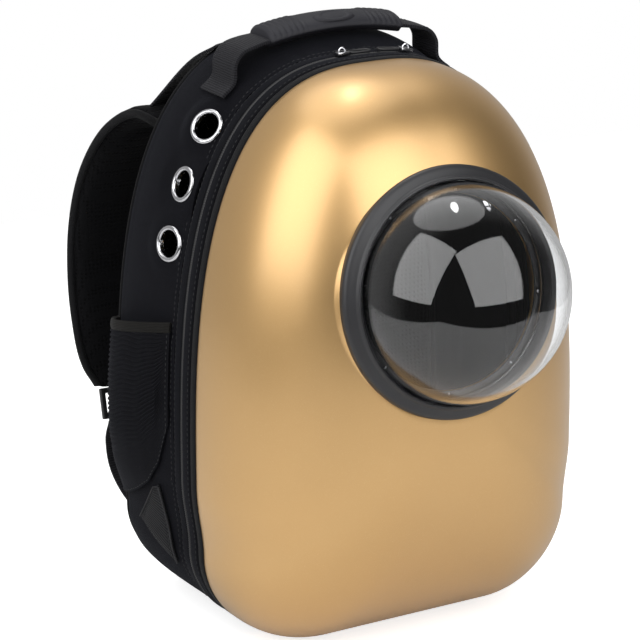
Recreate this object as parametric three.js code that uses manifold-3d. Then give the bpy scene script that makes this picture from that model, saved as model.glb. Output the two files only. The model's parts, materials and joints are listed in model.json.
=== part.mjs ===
// Pet carrier backpack with a hard gold shell and a clear bubble window.
// Millimetres. X runs across, -Y is the bubble side, +Z is up. The bag stands on z = 0,
// with the origin at the middle of its cloth base.
import * as THREE from 'three';
import ManifoldModule from 'manifold-3d';

const manifoldLib = await ManifoldModule();
manifoldLib.setup();

const { lerp } = THREE.MathUtils;
const QUARTER = Math.PI / 2;

// Clearance between touching pieces
const GAP = 0.3;

// Bag outline, seen from the front
const BAG_WIDTH = 292;
const BAG_HEIGHT = 420;
const BASE_WIDTH = 282;
const BASE_CORNER_RADIUS = 69;
const ARCH_START_HEIGHT = 122;
const ARCH_EXPONENT = 2.74;

// Front shell
const SHELL_DEPTH = 127;
const SHELL_EXPONENT = 2.32;
const SHELL_FRONT_HEIGHT = 208;
const SHELL_WALL = 2.5;

// Window, measured along its own axis from the seat on the shell
const WINDOW_HEIGHT = 277;
const SEAT_SINK = 3;
const SEAT_MARGIN = 2;
const SEAT_BLEND = 28;
const RING_RADIUS = 89;
const RING_LOWER_TIER = 9;
const RING_UPPER_TIER = 13.5;
const RING_STEP = 6;
const DOME_RADIUS = 77.5;
const DOME_NECK = 12.3;
const DOME_WALL = 2.5;
const DOME_FLANGE = 6.5;
const LINER_WIDTH = 5;
const LINER_THICKNESS = 1.5;
const LINER_SCREWS = 8;
const LINER_SCREW_RADIUS = 1.6;
const LINER_SCREW_HEIGHT = 1.2;
const FIRST_SCREW_ANGLE = THREE.MathUtils.degToRad(-8);

// Bands behind the shell, front to back
const BINDING_WIDTH = 9;
const BINDING_THICKNESS = 3;
const BINDING_ROUND = 1;
const TAPE_WIDTH = 25;
const TAPE_THICKNESS = 1.6;
const CHAIN_WIDTH = 6;
const CHAIN_HEIGHT = 1.2;
const CHAIN_END_HEIGHT = 14;
const CLOTH_DEPTH = 93;
const CLOTH_THICKNESS = 2;
const CLOTH_CROWN = 8;
const BACK_EDGE_RADIUS = 20;

// Zipper sliders on the arch
const SLIDER_LENGTH = 10;
const SLIDER_WIDTH = 8.5;
const SLIDER_HEIGHT = 4;
const PULL_LENGTH = 18;
const PULL_WIDTH = 8;
const PULL_THICKNESS = 1.6;
const PULL_WIRE = 1.8;

// Vents
const VENT_DEPTH = 52;
const VENT_CLEARANCE = 0.5;
const EYELET_BORE = 9.8;
const EYELET_NECK = 0.6;
const EYELET_RADIUS = 14.5;
const EYELET_HEIGHT = 2;
const EYELET_REACH = 3.2;

// Side pockets
const POCKET_WALL = 1.5;
const POCKET_LIFT = 1;
const POCKET_FULLNESS = 12;
const POCKET_FRONT_DEPTH = 39;
const POCKET_BACK_MARGIN = 9;
const POCKET_TOP_FRONT = 229;
const POCKET_TOP_BACK = 212;
const ELASTIC_HEIGHT = 8;
const ELASTIC_THICKNESS = 3;

// Corner tabs
const TAB_DEPTH = 75;
const TAB_TOP = 82;
const TAB_BOTTOM = 44;
const TAB_WIDTH = 30;
const TAB_POINT_WIDTH = 6;
const TAB_THICKNESS = 2;

// Padded back
const PANEL_THICKNESS = 14;
const PANEL_PROUD = 4;
const PANEL_PUFF = 4;
const PANEL_EDGE_ROUND = 5;

// Carrying straps
const STRAP_WIDTH = 66;
const STRAP_THICKNESS = 12;
const STRAP_STANDOFF = 70;
const STRAP_SEAT = 0.8;
const WEB_WIDTH = 24;
const WEB_THICKNESS = 1.8;
const LIFTER_WIDTH = 22;
const LIFTER_START = 56;
const LIFTER_SHIFT = 13;
const BUCKLE_WIDTH = 34;
const BUCKLE_LENGTH = 24;
const BUCKLE_THICKNESS = 4;
const BUCKLE_BAR = 4;

// Handle
const HANDLE_DEPTH = 65;
const GRIP_LENGTH = 112;
const GRIP_WIDTH = 36;
const GRIP_THICKNESS = 12;
const GRIP_DROP = 6;
const FINGER_GAP = 9;
const HANDLE_WEB_WIDTH = 34;
const HANDLE_WEB_THICKNESS = 2.6;
const HANDLE_FOOT_X = 84;
const HANDLE_FOOT_LENGTH = 9;
const MEDALLION_LENGTH = 34;
const MEDALLION_WIDTH = 17;
const MEDALLION_HEIGHT = 0.9;
const MEDALLION_ANGLE = THREE.MathUtils.degToRad(56);

const TAPE_START = GAP + BINDING_WIDTH + GAP;
const CLOTH_START = TAPE_START + TAPE_WIDTH + GAP;
const BODY_DEPTH = CLOTH_START + CLOTH_DEPTH;
const RIM_Y = -BODY_DEPTH / 2;
const BACK_FACE = BODY_DEPTH + PANEL_PROUD + PANEL_PUFF;

// Cloth section from the tape to the rounded back edge:
// along is a share of the cloth's depth before that edge, out a share of the crown.
const CLOTH_SECTION = [
  { along: 0, out: 0 },
  { along: 0.18, out: 0.4 },
  { along: 0.42, out: 0.8 },
  { along: 0.7, out: 1 },
  { along: 1, out: 0.78 },
];

// Vents: height as a share of the bag's height.
const VENTS = [
  { height: 0.886 },
  { height: 0.793 },
  { height: 0.693 },
];

// Side pocket: across runs from its front edge to the back seam. The bottom edge is a share of
// the pocket's top height there, and full is a share of the pocket's fullness.
const POCKET_TABLE = [
  { across: 0, bottom: 0.73, full: 0 },
  { across: 0.14, bottom: 0.62, full: 0.3 },
  { across: 0.3, bottom: 0.53, full: 0.62 },
  { across: 0.5, bottom: 0.46, full: 0.92 },
  { across: 0.7, bottom: 0.42, full: 1 },
  { across: 0.88, bottom: 0.4, full: 0.72 },
  { across: 1, bottom: 0.39, full: 0 },
];

// Fullness up the pocket's height, from its bottom seam to its open top.
const POCKET_RISE = [
  { up: 0, full: 0 },
  { up: 0.15, full: 0.55 },
  { up: 0.4, full: 1 },
  { up: 0.7, full: 1 },
  { up: 1, full: 0.8 },
];

// Shoulder strap from the top of the back to its lower end. across is a share of half the bag's
// width, back of the strap's standoff, height of the bag's height and width of the strap's.
const STRAP_PATH = [
  { across: 0.5, back: 0, height: 0.845, width: 0.78 },
  { across: 0.515, back: 0.16, height: 0.853, width: 0.88 },
  { across: 0.57, back: 0.4, height: 0.852, width: 1 },
  { across: 0.65, back: 0.67, height: 0.815, width: 1 },
  { across: 0.725, back: 0.9, height: 0.74, width: 1 },
  { across: 0.775, back: 1, height: 0.643, width: 1 },
  { across: 0.8, back: 0.97, height: 0.536, width: 1 },
  { across: 0.815, back: 0.81, height: 0.434, width: 0.98 },
  { across: 0.82, back: 0.71, height: 0.375, width: 0.86 },
  { across: 0.822, back: 0.65, height: 0.338, width: 0.52 },
];

// Lower webbing from the buckle to the foot of the back, with the same columns.
const WEB_PATH = [
  { across: 0.822, back: 0.68, height: 0.235 },
  { across: 0.81, back: 0.64, height: 0.18 },
  { across: 0.78, back: 0.42, height: 0.135 },
  { across: 0.75, back: 0.16, height: 0.118 },
  { across: 0.75, back: 0, height: 0.116 },
];

// Handle web from the grip's end to its foot: reach is a share of that distance and rise
// of the drop from the grip to the cloth.
const HANDLE_WEB_PATH = [
  { reach: 0, rise: 1 },
  { reach: 0.4, rise: 0.93 },
  { reach: 0.78, rise: 0.78 },
  { reach: 0.95, rise: 0.5 },
];

// Colours, roughness and metalness
const FINISHES = {
  gold: { color: 0xc8a468, roughness: 0.28, metalness: 0.85 },
  black_plastic: { color: 0x1c1c1f, roughness: 0.45, metalness: 0 },
  clear: { color: 0xdfe4e8, roughness: 0.03, metalness: 0, opacity: 0.25, transparent: true },
  cloth: { color: 0x17181c, roughness: 0.85, metalness: 0 },
  mesh_cloth: { color: 0x101114, roughness: 0.9, metalness: 0 },
  webbing: { color: 0x141518, roughness: 0.8, metalness: 0 },
  rubber: { color: 0x1a1a1c, roughness: 0.6, metalness: 0 },
  chrome: { color: 0xc9c9cc, roughness: 0.18, metalness: 1 },
};

function smoothstep(value) {
  const t = Math.min(1, Math.max(0, value));
  return t * t * (3 - 2 * t);
}

// Value of one column of a table, between its rows, where another column has the given value.
function lookUp(table, key, value, column) {
  const next = table.findIndex((row) => row[key] >= value);
  if (next === -1) return table[table.length - 1][column];
  if (next === 0) return table[0][column];
  const low = table[next - 1];
  const high = table[next];
  return lerp(low[column], high[column], (value - low[key]) / (high[key] - low[key]));
}

// Closed geometry from points and triangles, turned to face out.
function solid(points, faces) {
  let volume = 0;
  for (let i = 0; i < faces.length; i += 3) {
    const [a, b, c] = [points[faces[i]], points[faces[i + 1]], points[faces[i + 2]]];
    volume += a.dot(b.clone().cross(c));
  }
  const outward = volume < 0 ? faces.slice().reverse() : faces;
  const geometry = new THREE.BufferGeometry();
  geometry.setFromPoints(points);
  geometry.setIndex(outward);
  geometry.computeVertexNormals();
  return geometry;
}

function addQuad(faces, a, b, c, d) {
  faces.push(a, b, c, a, c, d);
}

// Wall between an outer and an inner grid of points. With wraps, the last row meets the first.
function wallSolid(outer, inner, wraps) {
  const rows = outer.length;
  const columns = outer[0].length;
  const last = columns - 1;
  const points = [...outer.flat(), ...inner.flat()];
  const at = (side, row, column) => (side * rows + (row % rows)) * columns + column;
  const faces = [];
  const spans = wraps ? rows : rows - 1;
  for (let i = 0; i < spans; i += 1) {
    for (let j = 0; j < last; j += 1) {
      addQuad(faces, at(0, i, j), at(0, i + 1, j), at(0, i + 1, j + 1), at(0, i, j + 1));
      addQuad(faces, at(1, i, j), at(1, i, j + 1), at(1, i + 1, j + 1), at(1, i + 1, j));
    }
    addQuad(faces, at(0, i, 0), at(1, i, 0), at(1, i + 1, 0), at(0, i + 1, 0));
    addQuad(faces, at(0, i, last), at(0, i + 1, last), at(1, i + 1, last), at(1, i, last));
  }
  if (!wraps) {
    const end = rows - 1;
    for (let j = 0; j < last; j += 1) {
      addQuad(faces, at(0, 0, j), at(0, 0, j + 1), at(1, 0, j + 1), at(1, 0, j));
      addQuad(faces, at(0, end, j), at(1, end, j), at(1, end, j + 1), at(0, end, j + 1));
    }
  }
  return solid(points, faces);
}

function middleOf(loop) {
  const middle = new THREE.Vector3();
  loop.forEach((point) => middle.add(point));
  return middle.divideScalar(loop.length);
}

// Solid skinned over closed loops of points, with a cap at each end.
function tubeSolid(loops) {
  const count = loops[0].length;
  const points = loops.flat();
  const faces = [];
  for (let i = 0; i < loops.length - 1; i += 1) {
    for (let j = 0; j < count; j += 1) {
      const next = (j + 1) % count;
      addQuad(faces, i * count + j, i * count + next, (i + 1) * count + next, (i + 1) * count + j);
    }
  }
  const endRow = (loops.length - 1) * count;
  const startMiddle = points.push(middleOf(loops[0])) - 1;
  const endMiddle = points.push(middleOf(loops[loops.length - 1])) - 1;
  for (let j = 0; j < count; j += 1) {
    const next = (j + 1) % count;
    faces.push(startMiddle, next, j);
    faces.push(endMiddle, endRow + j, endRow + next);
  }
  return solid(points, faces);
}

// Turned solid about its own Y axis from a profile of radius and height.
function turnedSolid(profile, segments) {
  const points = profile.map(([radius, height]) => new THREE.Vector2(radius, height));
  const onAxis = profile[0][0] === 0;
  if (!onAxis) points.push(points[0].clone());
  let area = 0;
  for (let i = 0; i < points.length; i += 1) {
    const next = points[(i + 1) % points.length];
    area += points[i].x * next.y - next.x * points[i].y;
  }
  if (area < 0) points.reverse();
  return new THREE.LatheGeometry(points, segments);
}

const root = new THREE.Group();

function addMesh(name, geometry, finish, parent = root) {
  const mesh = new THREE.Mesh(geometry, new THREE.MeshStandardMaterial(FINISHES[finish]));
  mesh.name = name;
  parent.add(mesh);
  return mesh;
}

// Half the bag's width at a height.
function halfWidthAt(height) {
  if (height < BASE_CORNER_RADIUS) {
    const drop = BASE_CORNER_RADIUS - height;
    return BASE_WIDTH / 2 - BASE_CORNER_RADIUS + Math.sqrt(BASE_CORNER_RADIUS ** 2 - drop ** 2);
  }
  if (height < ARCH_START_HEIGHT) {
    const share = (height - BASE_CORNER_RADIUS) / (ARCH_START_HEIGHT - BASE_CORNER_RADIUS);
    return lerp(BASE_WIDTH, BAG_WIDTH, smoothstep(share)) / 2;
  }
  const rise = (height - ARCH_START_HEIGHT) / (BAG_HEIGHT - ARCH_START_HEIGHT);
  return BAG_WIDTH / 2 * Math.max(0, 1 - rise ** ARCH_EXPONENT) ** (1 / ARCH_EXPONENT);
}

// Height of the arch above a place across the bag.
function archHeightAt(across) {
  const reach = Math.abs(across) / (BAG_WIDTH / 2);
  const rise = (1 - reach ** ARCH_EXPONENT) ** (1 / ARCH_EXPONENT);
  return lerp(ARCH_START_HEIGHT, BAG_HEIGHT, rise);
}

// Cloth swells out from its seams on the sides and the top, and lies flat on the floor.
function swellAt(height) {
  return smoothstep(height / BASE_CORNER_RADIUS);
}

function outlinePlace(x, z, alongX, alongZ) {
  const length = Math.hypot(alongX, alongZ);
  return { x, z, nx: alongZ / length, nz: -alongX / length, swell: swellAt(z) };
}

// Place on the outline's side at a height; side is 1 or -1.
function placeOnSide(side, height) {
  const step = 0.5;
  const slope = (halfWidthAt(height + step) - halfWidthAt(height - step)) / (2 * step);
  const place = outlinePlace(halfWidthAt(height), height, slope, 1);
  return { ...place, x: side * place.x, nx: side * place.nx };
}

// Place on the arch at a distance across the bag.
function placeOnArch(across) {
  const step = 0.5;
  const slope = (archHeightAt(across + step) - archHeightAt(across - step)) / (2 * step);
  return outlinePlace(across, archHeightAt(across), -1, -slope);
}

const BASE_STEPS = 2;
const CORNER_STEPS = 6;
const SIDE_STEPS = 2;
const ARCH_STEPS = 15;

// Places round the whole outline, from the middle of the base.
function outlineStations() {
  const half = [];
  const flat = BASE_WIDTH / 2 - BASE_CORNER_RADIUS;
  for (let i = 0; i < BASE_STEPS; i += 1) half.push([flat * i / BASE_STEPS, 0]);
  for (let i = 0; i < CORNER_STEPS; i += 1) {
    const turn = QUARTER * i / CORNER_STEPS;
    half.push([flat + BASE_CORNER_RADIUS * Math.sin(turn), BASE_CORNER_RADIUS * (1 - Math.cos(turn))]);
  }
  for (let i = 0; i < SIDE_STEPS; i += 1) {
    const height = lerp(BASE_CORNER_RADIUS, ARCH_START_HEIGHT, i / SIDE_STEPS);
    half.push([halfWidthAt(height), height]);
  }
  for (let i = 0; i < ARCH_STEPS; i += 1) {
    const turn = QUARTER * i / ARCH_STEPS;
    const across = BAG_WIDTH / 2 * Math.cos(turn) ** (2 / ARCH_EXPONENT);
    const rise = Math.sin(turn) ** (2 / ARCH_EXPONENT);
    half.push([across, lerp(ARCH_START_HEIGHT, BAG_HEIGHT, rise)]);
  }
  const mirrored = half.slice(1).reverse().map(([x, z]) => [-x, z]);
  const all = [...half, [0, BAG_HEIGHT], ...mirrored];
  return all.map(([x, z], i) => {
    const before = all[(i + all.length - 1) % all.length];
    const after = all[(i + 1) % all.length];
    return outlinePlace(x, z, after[0] - before[0], after[1] - before[1]);
  });
}

const STATIONS = outlineStations();

// Point at a depth behind the rim and a distance out from the outline.
function bandPoint(place, depth, out) {
  return new THREE.Vector3(place.x + place.nx * out, RIM_Y + depth, place.z + place.nz * out);
}

// Distance from the shell's foremost axis to the outline, in a direction.
function outlineReach(directionX, directionZ) {
  for (let i = 0; i < STATIONS.length; i += 1) {
    const a = STATIONS[i];
    const b = STATIONS[(i + 1) % STATIONS.length];
    const az = a.z - SHELL_FRONT_HEIGHT;
    const edgeX = b.x - a.x;
    const edgeZ = b.z - a.z;
    const cross = directionX * edgeZ - directionZ * edgeX;
    const along = (a.x * edgeZ - az * edgeX) / cross;
    const share = (a.x * directionZ - az * directionX) / cross;
    if (along > 0 && share >= -1e-9 && share <= 1 + 1e-9) return along;
  }
  return BAG_WIDTH / 2;
}

// How far the plain shell stands in front of the rim.
function bulgeAt(x, z) {
  const rise = z - SHELL_FRONT_HEIGHT;
  const radius = Math.hypot(x, rise);
  if (radius < 1e-6) return SHELL_DEPTH;
  const share = Math.min(1, radius / outlineReach(x / radius, rise / radius));
  return SHELL_DEPTH * (1 - share ** SHELL_EXPONENT) ** (1 / SHELL_EXPONENT);
}

// The window's seat is a flat across the shell, from the ring's top to its foot.
const SEAT_TOP = bulgeAt(0, WINDOW_HEIGHT + RING_RADIUS);
const SEAT_FOOT = bulgeAt(0, WINDOW_HEIGHT - RING_RADIUS);
const SEAT_TILT = Math.atan2(SEAT_FOOT - SEAT_TOP, 2 * RING_RADIUS);
const SEAT_DEPTH = (SEAT_TOP + SEAT_FOOT) / 2 - SEAT_SINK;
const SEAT_RADIUS = RING_RADIUS + SEAT_MARGIN;
const LINER_RADIUS = DOME_RADIUS - DOME_WALL - GAP;
const WINDOW_RADIUS = LINER_RADIUS - LINER_WIDTH;

function seatPoint(radius, angle) {
  const up = radius * Math.sin(angle);
  const ahead = SEAT_DEPTH - up * Math.sin(SEAT_TILT);
  return new THREE.Vector3(radius * Math.cos(angle), RIM_Y - ahead, WINDOW_HEIGHT + up * Math.cos(SEAT_TILT));
}

// Shell surface: the bulge, eased into the flat seat near the window.
function shellPoint(x, z) {
  const up = (z - WINDOW_HEIGHT) / Math.cos(SEAT_TILT);
  const flat = SEAT_DEPTH - (z - WINDOW_HEIGHT) * Math.tan(SEAT_TILT);
  const ease = smoothstep((Math.hypot(x, up) - SEAT_RADIUS) / SEAT_BLEND);
  return new THREE.Vector3(x, RIM_Y - lerp(flat, bulgeAt(x, z), ease), z);
}

const SHELL_ROWS = 7;

// Points from the rim, over the bulge and the seat, to the window's edge.
function shellLine(place) {
  const angle = Math.atan2(place.z - WINDOW_HEIGHT, place.x);
  const seat = seatPoint(SEAT_RADIUS, angle);
  const rise = seat.z - SHELL_FRONT_HEIGHT;
  const radius = Math.hypot(seat.x, rise);
  const share = radius / outlineReach(seat.x / radius, rise / radius);
  const lastTurn = Math.acos(share ** (SHELL_EXPONENT / 2));
  const line = [bandPoint(place, 0, 0)];
  for (let i = 1; i < SHELL_ROWS; i += 1) {
    const scale = Math.cos(lastTurn * i / SHELL_ROWS) ** (2 / SHELL_EXPONENT);
    const inward = (1 - scale) / (1 - share);
    line.push(shellPoint(lerp(place.x, seat.x, inward), lerp(place.z, seat.z, inward)));
  }
  return [...line, seat, seatPoint(WINDOW_RADIUS, angle)];
}

// Inner face of the shell, one wall in from the outer face.
function shellInside(outer) {
  const count = outer.length;
  return outer.map((line, i) => line.map((point, j) => {
    const around = outer[(i + 1) % count][j].clone().sub(outer[(i + count - 1) % count][j]);
    const along = line[Math.min(j + 1, line.length - 1)].clone().sub(line[Math.max(j - 1, 0)]);
    const normal = around.cross(along);
    if (j === 0) normal.set(STATIONS[i].nx, 0, STATIONS[i].nz);
    if (j >= line.length - 2) normal.set(0, -Math.cos(SEAT_TILT), Math.sin(SEAT_TILT));
    normal.normalize();
    const ahead = normal.x * STATIONS[i].nx + normal.z * STATIONS[i].nz - normal.y;
    if (ahead < 0) normal.negate();
    return point.clone().addScaledVector(normal, -SHELL_WALL);
  }));
}

function addShell() {
  const outer = STATIONS.map(shellLine);
  addMesh('front_shell', wallSolid(outer, shellInside(outer), true), 'gold');
}

// Ring, dome and liner share one axis, at right angles to the seat.
function addWindow() {
  const window = new THREE.Group();
  window.position.set(0, RIM_Y - SEAT_DEPTH, WINDOW_HEIGHT);
  const outward = new THREE.Vector3(0, -Math.cos(SEAT_TILT), Math.sin(SEAT_TILT));
  window.quaternion.setFromUnitVectors(new THREE.Vector3(0, 1, 0), outward);
  root.add(window);
  addRing(window);
  addDome(window);
  addLiner(window);
}

function addRing(window) {
  const inner = DOME_RADIUS + 2 * GAP;
  const recess = inner + DOME_FLANGE;
  const recessTop = DOME_WALL + 2 * GAP;
  const step = RING_RADIUS - RING_STEP;
  const profile = [
    [recess, GAP],
    [RING_RADIUS, GAP],
    [RING_RADIUS, RING_LOWER_TIER * 0.75],
    [RING_RADIUS - RING_LOWER_TIER * 0.25, RING_LOWER_TIER],
    [step, RING_LOWER_TIER],
    [step, RING_UPPER_TIER * 0.88],
    [step - RING_UPPER_TIER * 0.12, RING_UPPER_TIER],
    [inner, RING_UPPER_TIER],
    [inner, recessTop],
    [recess, recessTop],
  ];
  addMesh('window_ring', turnedSolid(profile, 40), 'black_plastic', window);
}

function addDome(window) {
  const steps = 7;
  const outer = [];
  const inner = [];
  for (let i = 0; i <= steps; i += 1) {
    const turn = QUARTER * (1 - i / steps);
    const [across, up] = i === steps ? [1, 0] : [Math.cos(turn), Math.sin(turn)];
    outer.push([i === 0 ? 0 : DOME_RADIUS * across, DOME_NECK + DOME_RADIUS * up]);
    inner.push([i === 0 ? 0 : (DOME_RADIUS - DOME_WALL) * across, DOME_NECK + (DOME_RADIUS - DOME_WALL) * up]);
  }
  const profile = [
    ...outer,
    [DOME_RADIUS, GAP + DOME_WALL],
    [DOME_RADIUS + DOME_FLANGE, GAP + DOME_WALL],
    [DOME_RADIUS + DOME_FLANGE, GAP],
    [DOME_RADIUS - DOME_WALL, GAP],
    ...inner.reverse(),
  ];
  addMesh('bubble_dome', turnedSolid(profile, 32), 'clear', window);
}

function addLiner(window) {
  const foot = GAP;
  const top = foot + LINER_THICKNESS;
  const profile = [
    [WINDOW_RADIUS, foot],
    [LINER_RADIUS - GAP, foot],
    [LINER_RADIUS - GAP, top],
    [WINDOW_RADIUS, top],
  ];
  addMesh('window_liner', turnedSolid(profile, 32), 'black_plastic', window);
  const middle = (WINDOW_RADIUS + LINER_RADIUS - GAP) / 2;
  const head = [
    [0, 0],
    [LINER_SCREW_RADIUS, 0],
    [LINER_SCREW_RADIUS * 0.7, LINER_SCREW_HEIGHT],
    [0, LINER_SCREW_HEIGHT],
  ];
  for (let i = 0; i < LINER_SCREWS; i += 1) {
    const angle = FIRST_SCREW_ANGLE + 2 * Math.PI * i / LINER_SCREWS;
    const screw = addMesh(`liner_screw_${i + 1}`, turnedSolid(head, 6), 'chrome', window);
    screw.position.set(middle * Math.cos(angle), top + GAP, -middle * Math.sin(angle));
  }
}

// Band round the bag between two lines of depth and distance out.
function addBand(name, outerLine, innerLine, finish) {
  const lineAt = (line) => (place) => line.map(({ depth, out }) => {
    const pushed = out > 0 ? out * place.swell : out;
    return bandPoint(place, depth, pushed);
  });
  const outer = STATIONS.map(lineAt(outerLine));
  const inner = STATIONS.map(lineAt(innerLine));
  addMesh(name, wallSolid(outer, inner, true), finish);
}

function addBindingAndTape() {
  const start = GAP;
  const end = GAP + BINDING_WIDTH;
  const round = BINDING_WIDTH * 0.25;
  const depths = [start, start + round, end - round, end];
  const outs = [-BINDING_ROUND, BINDING_ROUND, BINDING_ROUND, -BINDING_ROUND];
  const outerLine = depths.map((depth, i) => ({ depth, out: outs[i] }));
  const innerLine = depths.map((depth) => ({ depth, out: BINDING_ROUND - BINDING_THICKNESS }));
  addBand('edge_binding', outerLine, innerLine, 'cloth');
  const tapeDepths = [TAPE_START, TAPE_START + TAPE_WIDTH];
  const tapeOuter = tapeDepths.map((depth) => ({ depth, out: 0 }));
  const tapeInner = tapeDepths.map((depth) => ({ depth, out: -TAPE_THICKNESS }));
  addBand('zipper_tape', tapeOuter, tapeInner, 'webbing');
}

const CHAIN_DEPTH = TAPE_START + TAPE_WIDTH / 2;

// The chain runs up one side, over the arch and down the other side.
function addChain() {
  const places = STATIONS.filter((place) => place.z > CHAIN_END_HEIGHT);
  const line = (out) => places.map((place) => [
    bandPoint(place, CHAIN_DEPTH - CHAIN_WIDTH / 2, out),
    bandPoint(place, CHAIN_DEPTH + CHAIN_WIDTH / 2, out),
  ]);
  addMesh('zipper_chain', wallSolid(line(GAP + CHAIN_HEIGHT), line(GAP), false), 'black_plastic');
}

// Distance of the cloth out from the outline at a depth behind the rim.
function clothOutAt(depth, swell) {
  const edge = BODY_DEPTH - BACK_EDGE_RADIUS;
  const along = (depth - CLOTH_START) / (edge - CLOTH_START);
  const out = CLOTH_CROWN * swell * lookUp(CLOTH_SECTION, 'along', Math.max(0, along), 'out');
  if (depth <= edge) return out;
  const past = Math.min(BACK_EDGE_RADIUS, depth - edge);
  return out - BACK_EDGE_RADIUS + Math.sqrt(BACK_EDGE_RADIUS ** 2 - past ** 2);
}

// Normal of the cloth at a place and depth.
function clothNormal(place, depth) {
  const step = 0.5;
  const rise = clothOutAt(depth + step, place.swell) - clothOutAt(depth - step, place.swell);
  return new THREE.Vector3(place.nx, -rise / (2 * step), place.nz).normalize();
}

// Point at a height above the cloth's face.
function onCloth(place, depth, lift) {
  const point = bandPoint(place, depth, clothOutAt(depth, place.swell));
  return point.addScaledVector(clothNormal(place, depth), lift);
}

const BACK_EDGE_STEPS = 3;

// Outer line of the cloth's section, from the tape round the back edge.
function clothLine(swell) {
  const edge = BODY_DEPTH - BACK_EDGE_RADIUS;
  const line = CLOTH_SECTION.map(({ along, out }) => ({
    depth: lerp(CLOTH_START, edge, along),
    out: CLOTH_CROWN * swell * out,
  }));
  const shoulder = line[line.length - 1].out;
  for (let i = 1; i <= BACK_EDGE_STEPS; i += 1) {
    const turn = QUARTER * i / BACK_EDGE_STEPS;
    line.push({
      depth: edge + BACK_EDGE_RADIUS * Math.sin(turn),
      out: shoulder - BACK_EDGE_RADIUS * (1 - Math.cos(turn)),
    });
  }
  return line;
}

function clothInside(line) {
  return line.map((here, i) => {
    const before = line[Math.max(0, i - 1)];
    const after = line[Math.min(line.length - 1, i + 1)];
    const alongDepth = after.depth - before.depth;
    const alongOut = after.out - before.out;
    const length = Math.hypot(alongDepth, alongOut);
    const depth = here.depth + CLOTH_THICKNESS * alongOut / length;
    const out = here.out - CLOTH_THICKNESS * alongDepth / length;
    return { depth: Math.max(CLOTH_START, depth), out };
  });
}

function manifoldOf(geometry) {
  return new manifoldLib.Manifold(new manifoldLib.Mesh({
    numProp: 3,
    vertProperties: new Float32Array(geometry.attributes.position.array),
    triVerts: new Uint32Array(geometry.index.array),
  }));
}

function geometryOf(shape) {
  const mesh = shape.getMesh();
  const geometry = new THREE.BufferGeometry();
  geometry.setAttribute('position', new THREE.BufferAttribute(new Float32Array(mesh.vertProperties), 3));
  geometry.setIndex(new THREE.BufferAttribute(new Uint32Array(mesh.triVerts), 1));
  geometry.computeVertexNormals();
  return geometry;
}

// Centre and outward axis of each vent.
function ventPlaces() {
  const places = [];
  for (const side of [-1, 1]) {
    VENTS.forEach(({ height }, i) => {
      const place = placeOnSide(side, height * BAG_HEIGHT);
      const name = `${side < 0 ? 'left' : 'right'}_${i + 1}`;
      places.push({ name, centre: onCloth(place, VENT_DEPTH, 0), axis: clothNormal(place, VENT_DEPTH) });
    });
  }
  return places;
}

function addGusset() {
  const lines = STATIONS.map((place) => clothLine(place.swell));
  const outer = lines.map((line, i) => line.map(({ depth, out }) => bandPoint(STATIONS[i], depth, out)));
  const inner = lines.map((line, i) => clothInside(line).map(({ depth, out }) => bandPoint(STATIONS[i], depth, out)));
  let cloth = manifoldOf(wallSolid(outer, inner, true));
  const holeRadius = EYELET_BORE + EYELET_NECK + VENT_CLEARANCE;
  for (const { centre, axis } of ventPlaces()) {
    const turn = new THREE.Quaternion().setFromUnitVectors(new THREE.Vector3(0, 0, 1), axis);
    const matrix = new THREE.Matrix4().compose(centre, turn, new THREE.Vector3(1, 1, 1));
    const reach = BACK_EDGE_RADIUS;
    const cutter = manifoldLib.Manifold.cylinder(reach, holeRadius, holeRadius, 14, true);
    cloth = cloth.subtract(cutter.transform(matrix.elements));
  }
  addMesh('gusset', geometryOf(cloth), 'cloth');
}

function addEyelets() {
  const neck = EYELET_BORE + EYELET_NECK;
  const foot = GAP;
  const top = foot + EYELET_HEIGHT;
  const profile = [
    [EYELET_BORE, -EYELET_REACH],
    [neck, -EYELET_REACH],
    [neck, foot],
    [EYELET_RADIUS, foot],
    [lerp(EYELET_RADIUS, neck, 0.25), top],
    [lerp(EYELET_RADIUS, neck, 0.85), top],
    [EYELET_BORE, top - EYELET_HEIGHT * 0.6],
  ];
  for (const { name, centre, axis } of ventPlaces()) {
    const eyelet = addMesh(`vent_grommet_${name}`, turnedSolid(profile, 14), 'chrome');
    eyelet.position.copy(centre);
    eyelet.quaternion.setFromUnitVectors(new THREE.Vector3(0, 1, 0), axis);
  }
}

// Slider bodies sit on the chain, and each pull lies along it towards the other one.
function addSliders() {
  const sliders = [
    { name: 'left', across: -12, towards: 1 },
    { name: 'right', across: 40, towards: -1 },
  ];
  const chainTop = GAP + CHAIN_HEIGHT;
  for (const { name, across, towards } of sliders) {
    const place = placeOnArch(across);
    const body = new THREE.BoxGeometry(SLIDER_LENGTH, SLIDER_WIDTH, SLIDER_HEIGHT);
    const slider = addMesh(`zipper_slider_${name}`, body, 'chrome');
    slider.position.copy(bandPoint(place, CHAIN_DEPTH, chainTop + GAP + SLIDER_HEIGHT / 2));
    slider.rotation.y = Math.atan2(place.nx, place.nz);
    const away = SLIDER_LENGTH / 2 + GAP + PULL_LENGTH / 2;
    const pullPlace = placeOnArch(across + towards * away);
    const loop = loopShape(PULL_LENGTH, PULL_WIDTH, PULL_WIRE);
    const pull = addMesh(`slider_pull_${name}`, new THREE.ExtrudeGeometry(loop, {
      depth: PULL_THICKNESS, bevelEnabled: false, curveSegments: 3,
    }), 'black_plastic');
    pull.position.copy(bandPoint(pullPlace, CHAIN_DEPTH, chainTop + 2 * GAP));
    pull.rotation.y = Math.atan2(pullPlace.nx, pullPlace.nz);
  }
}

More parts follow.
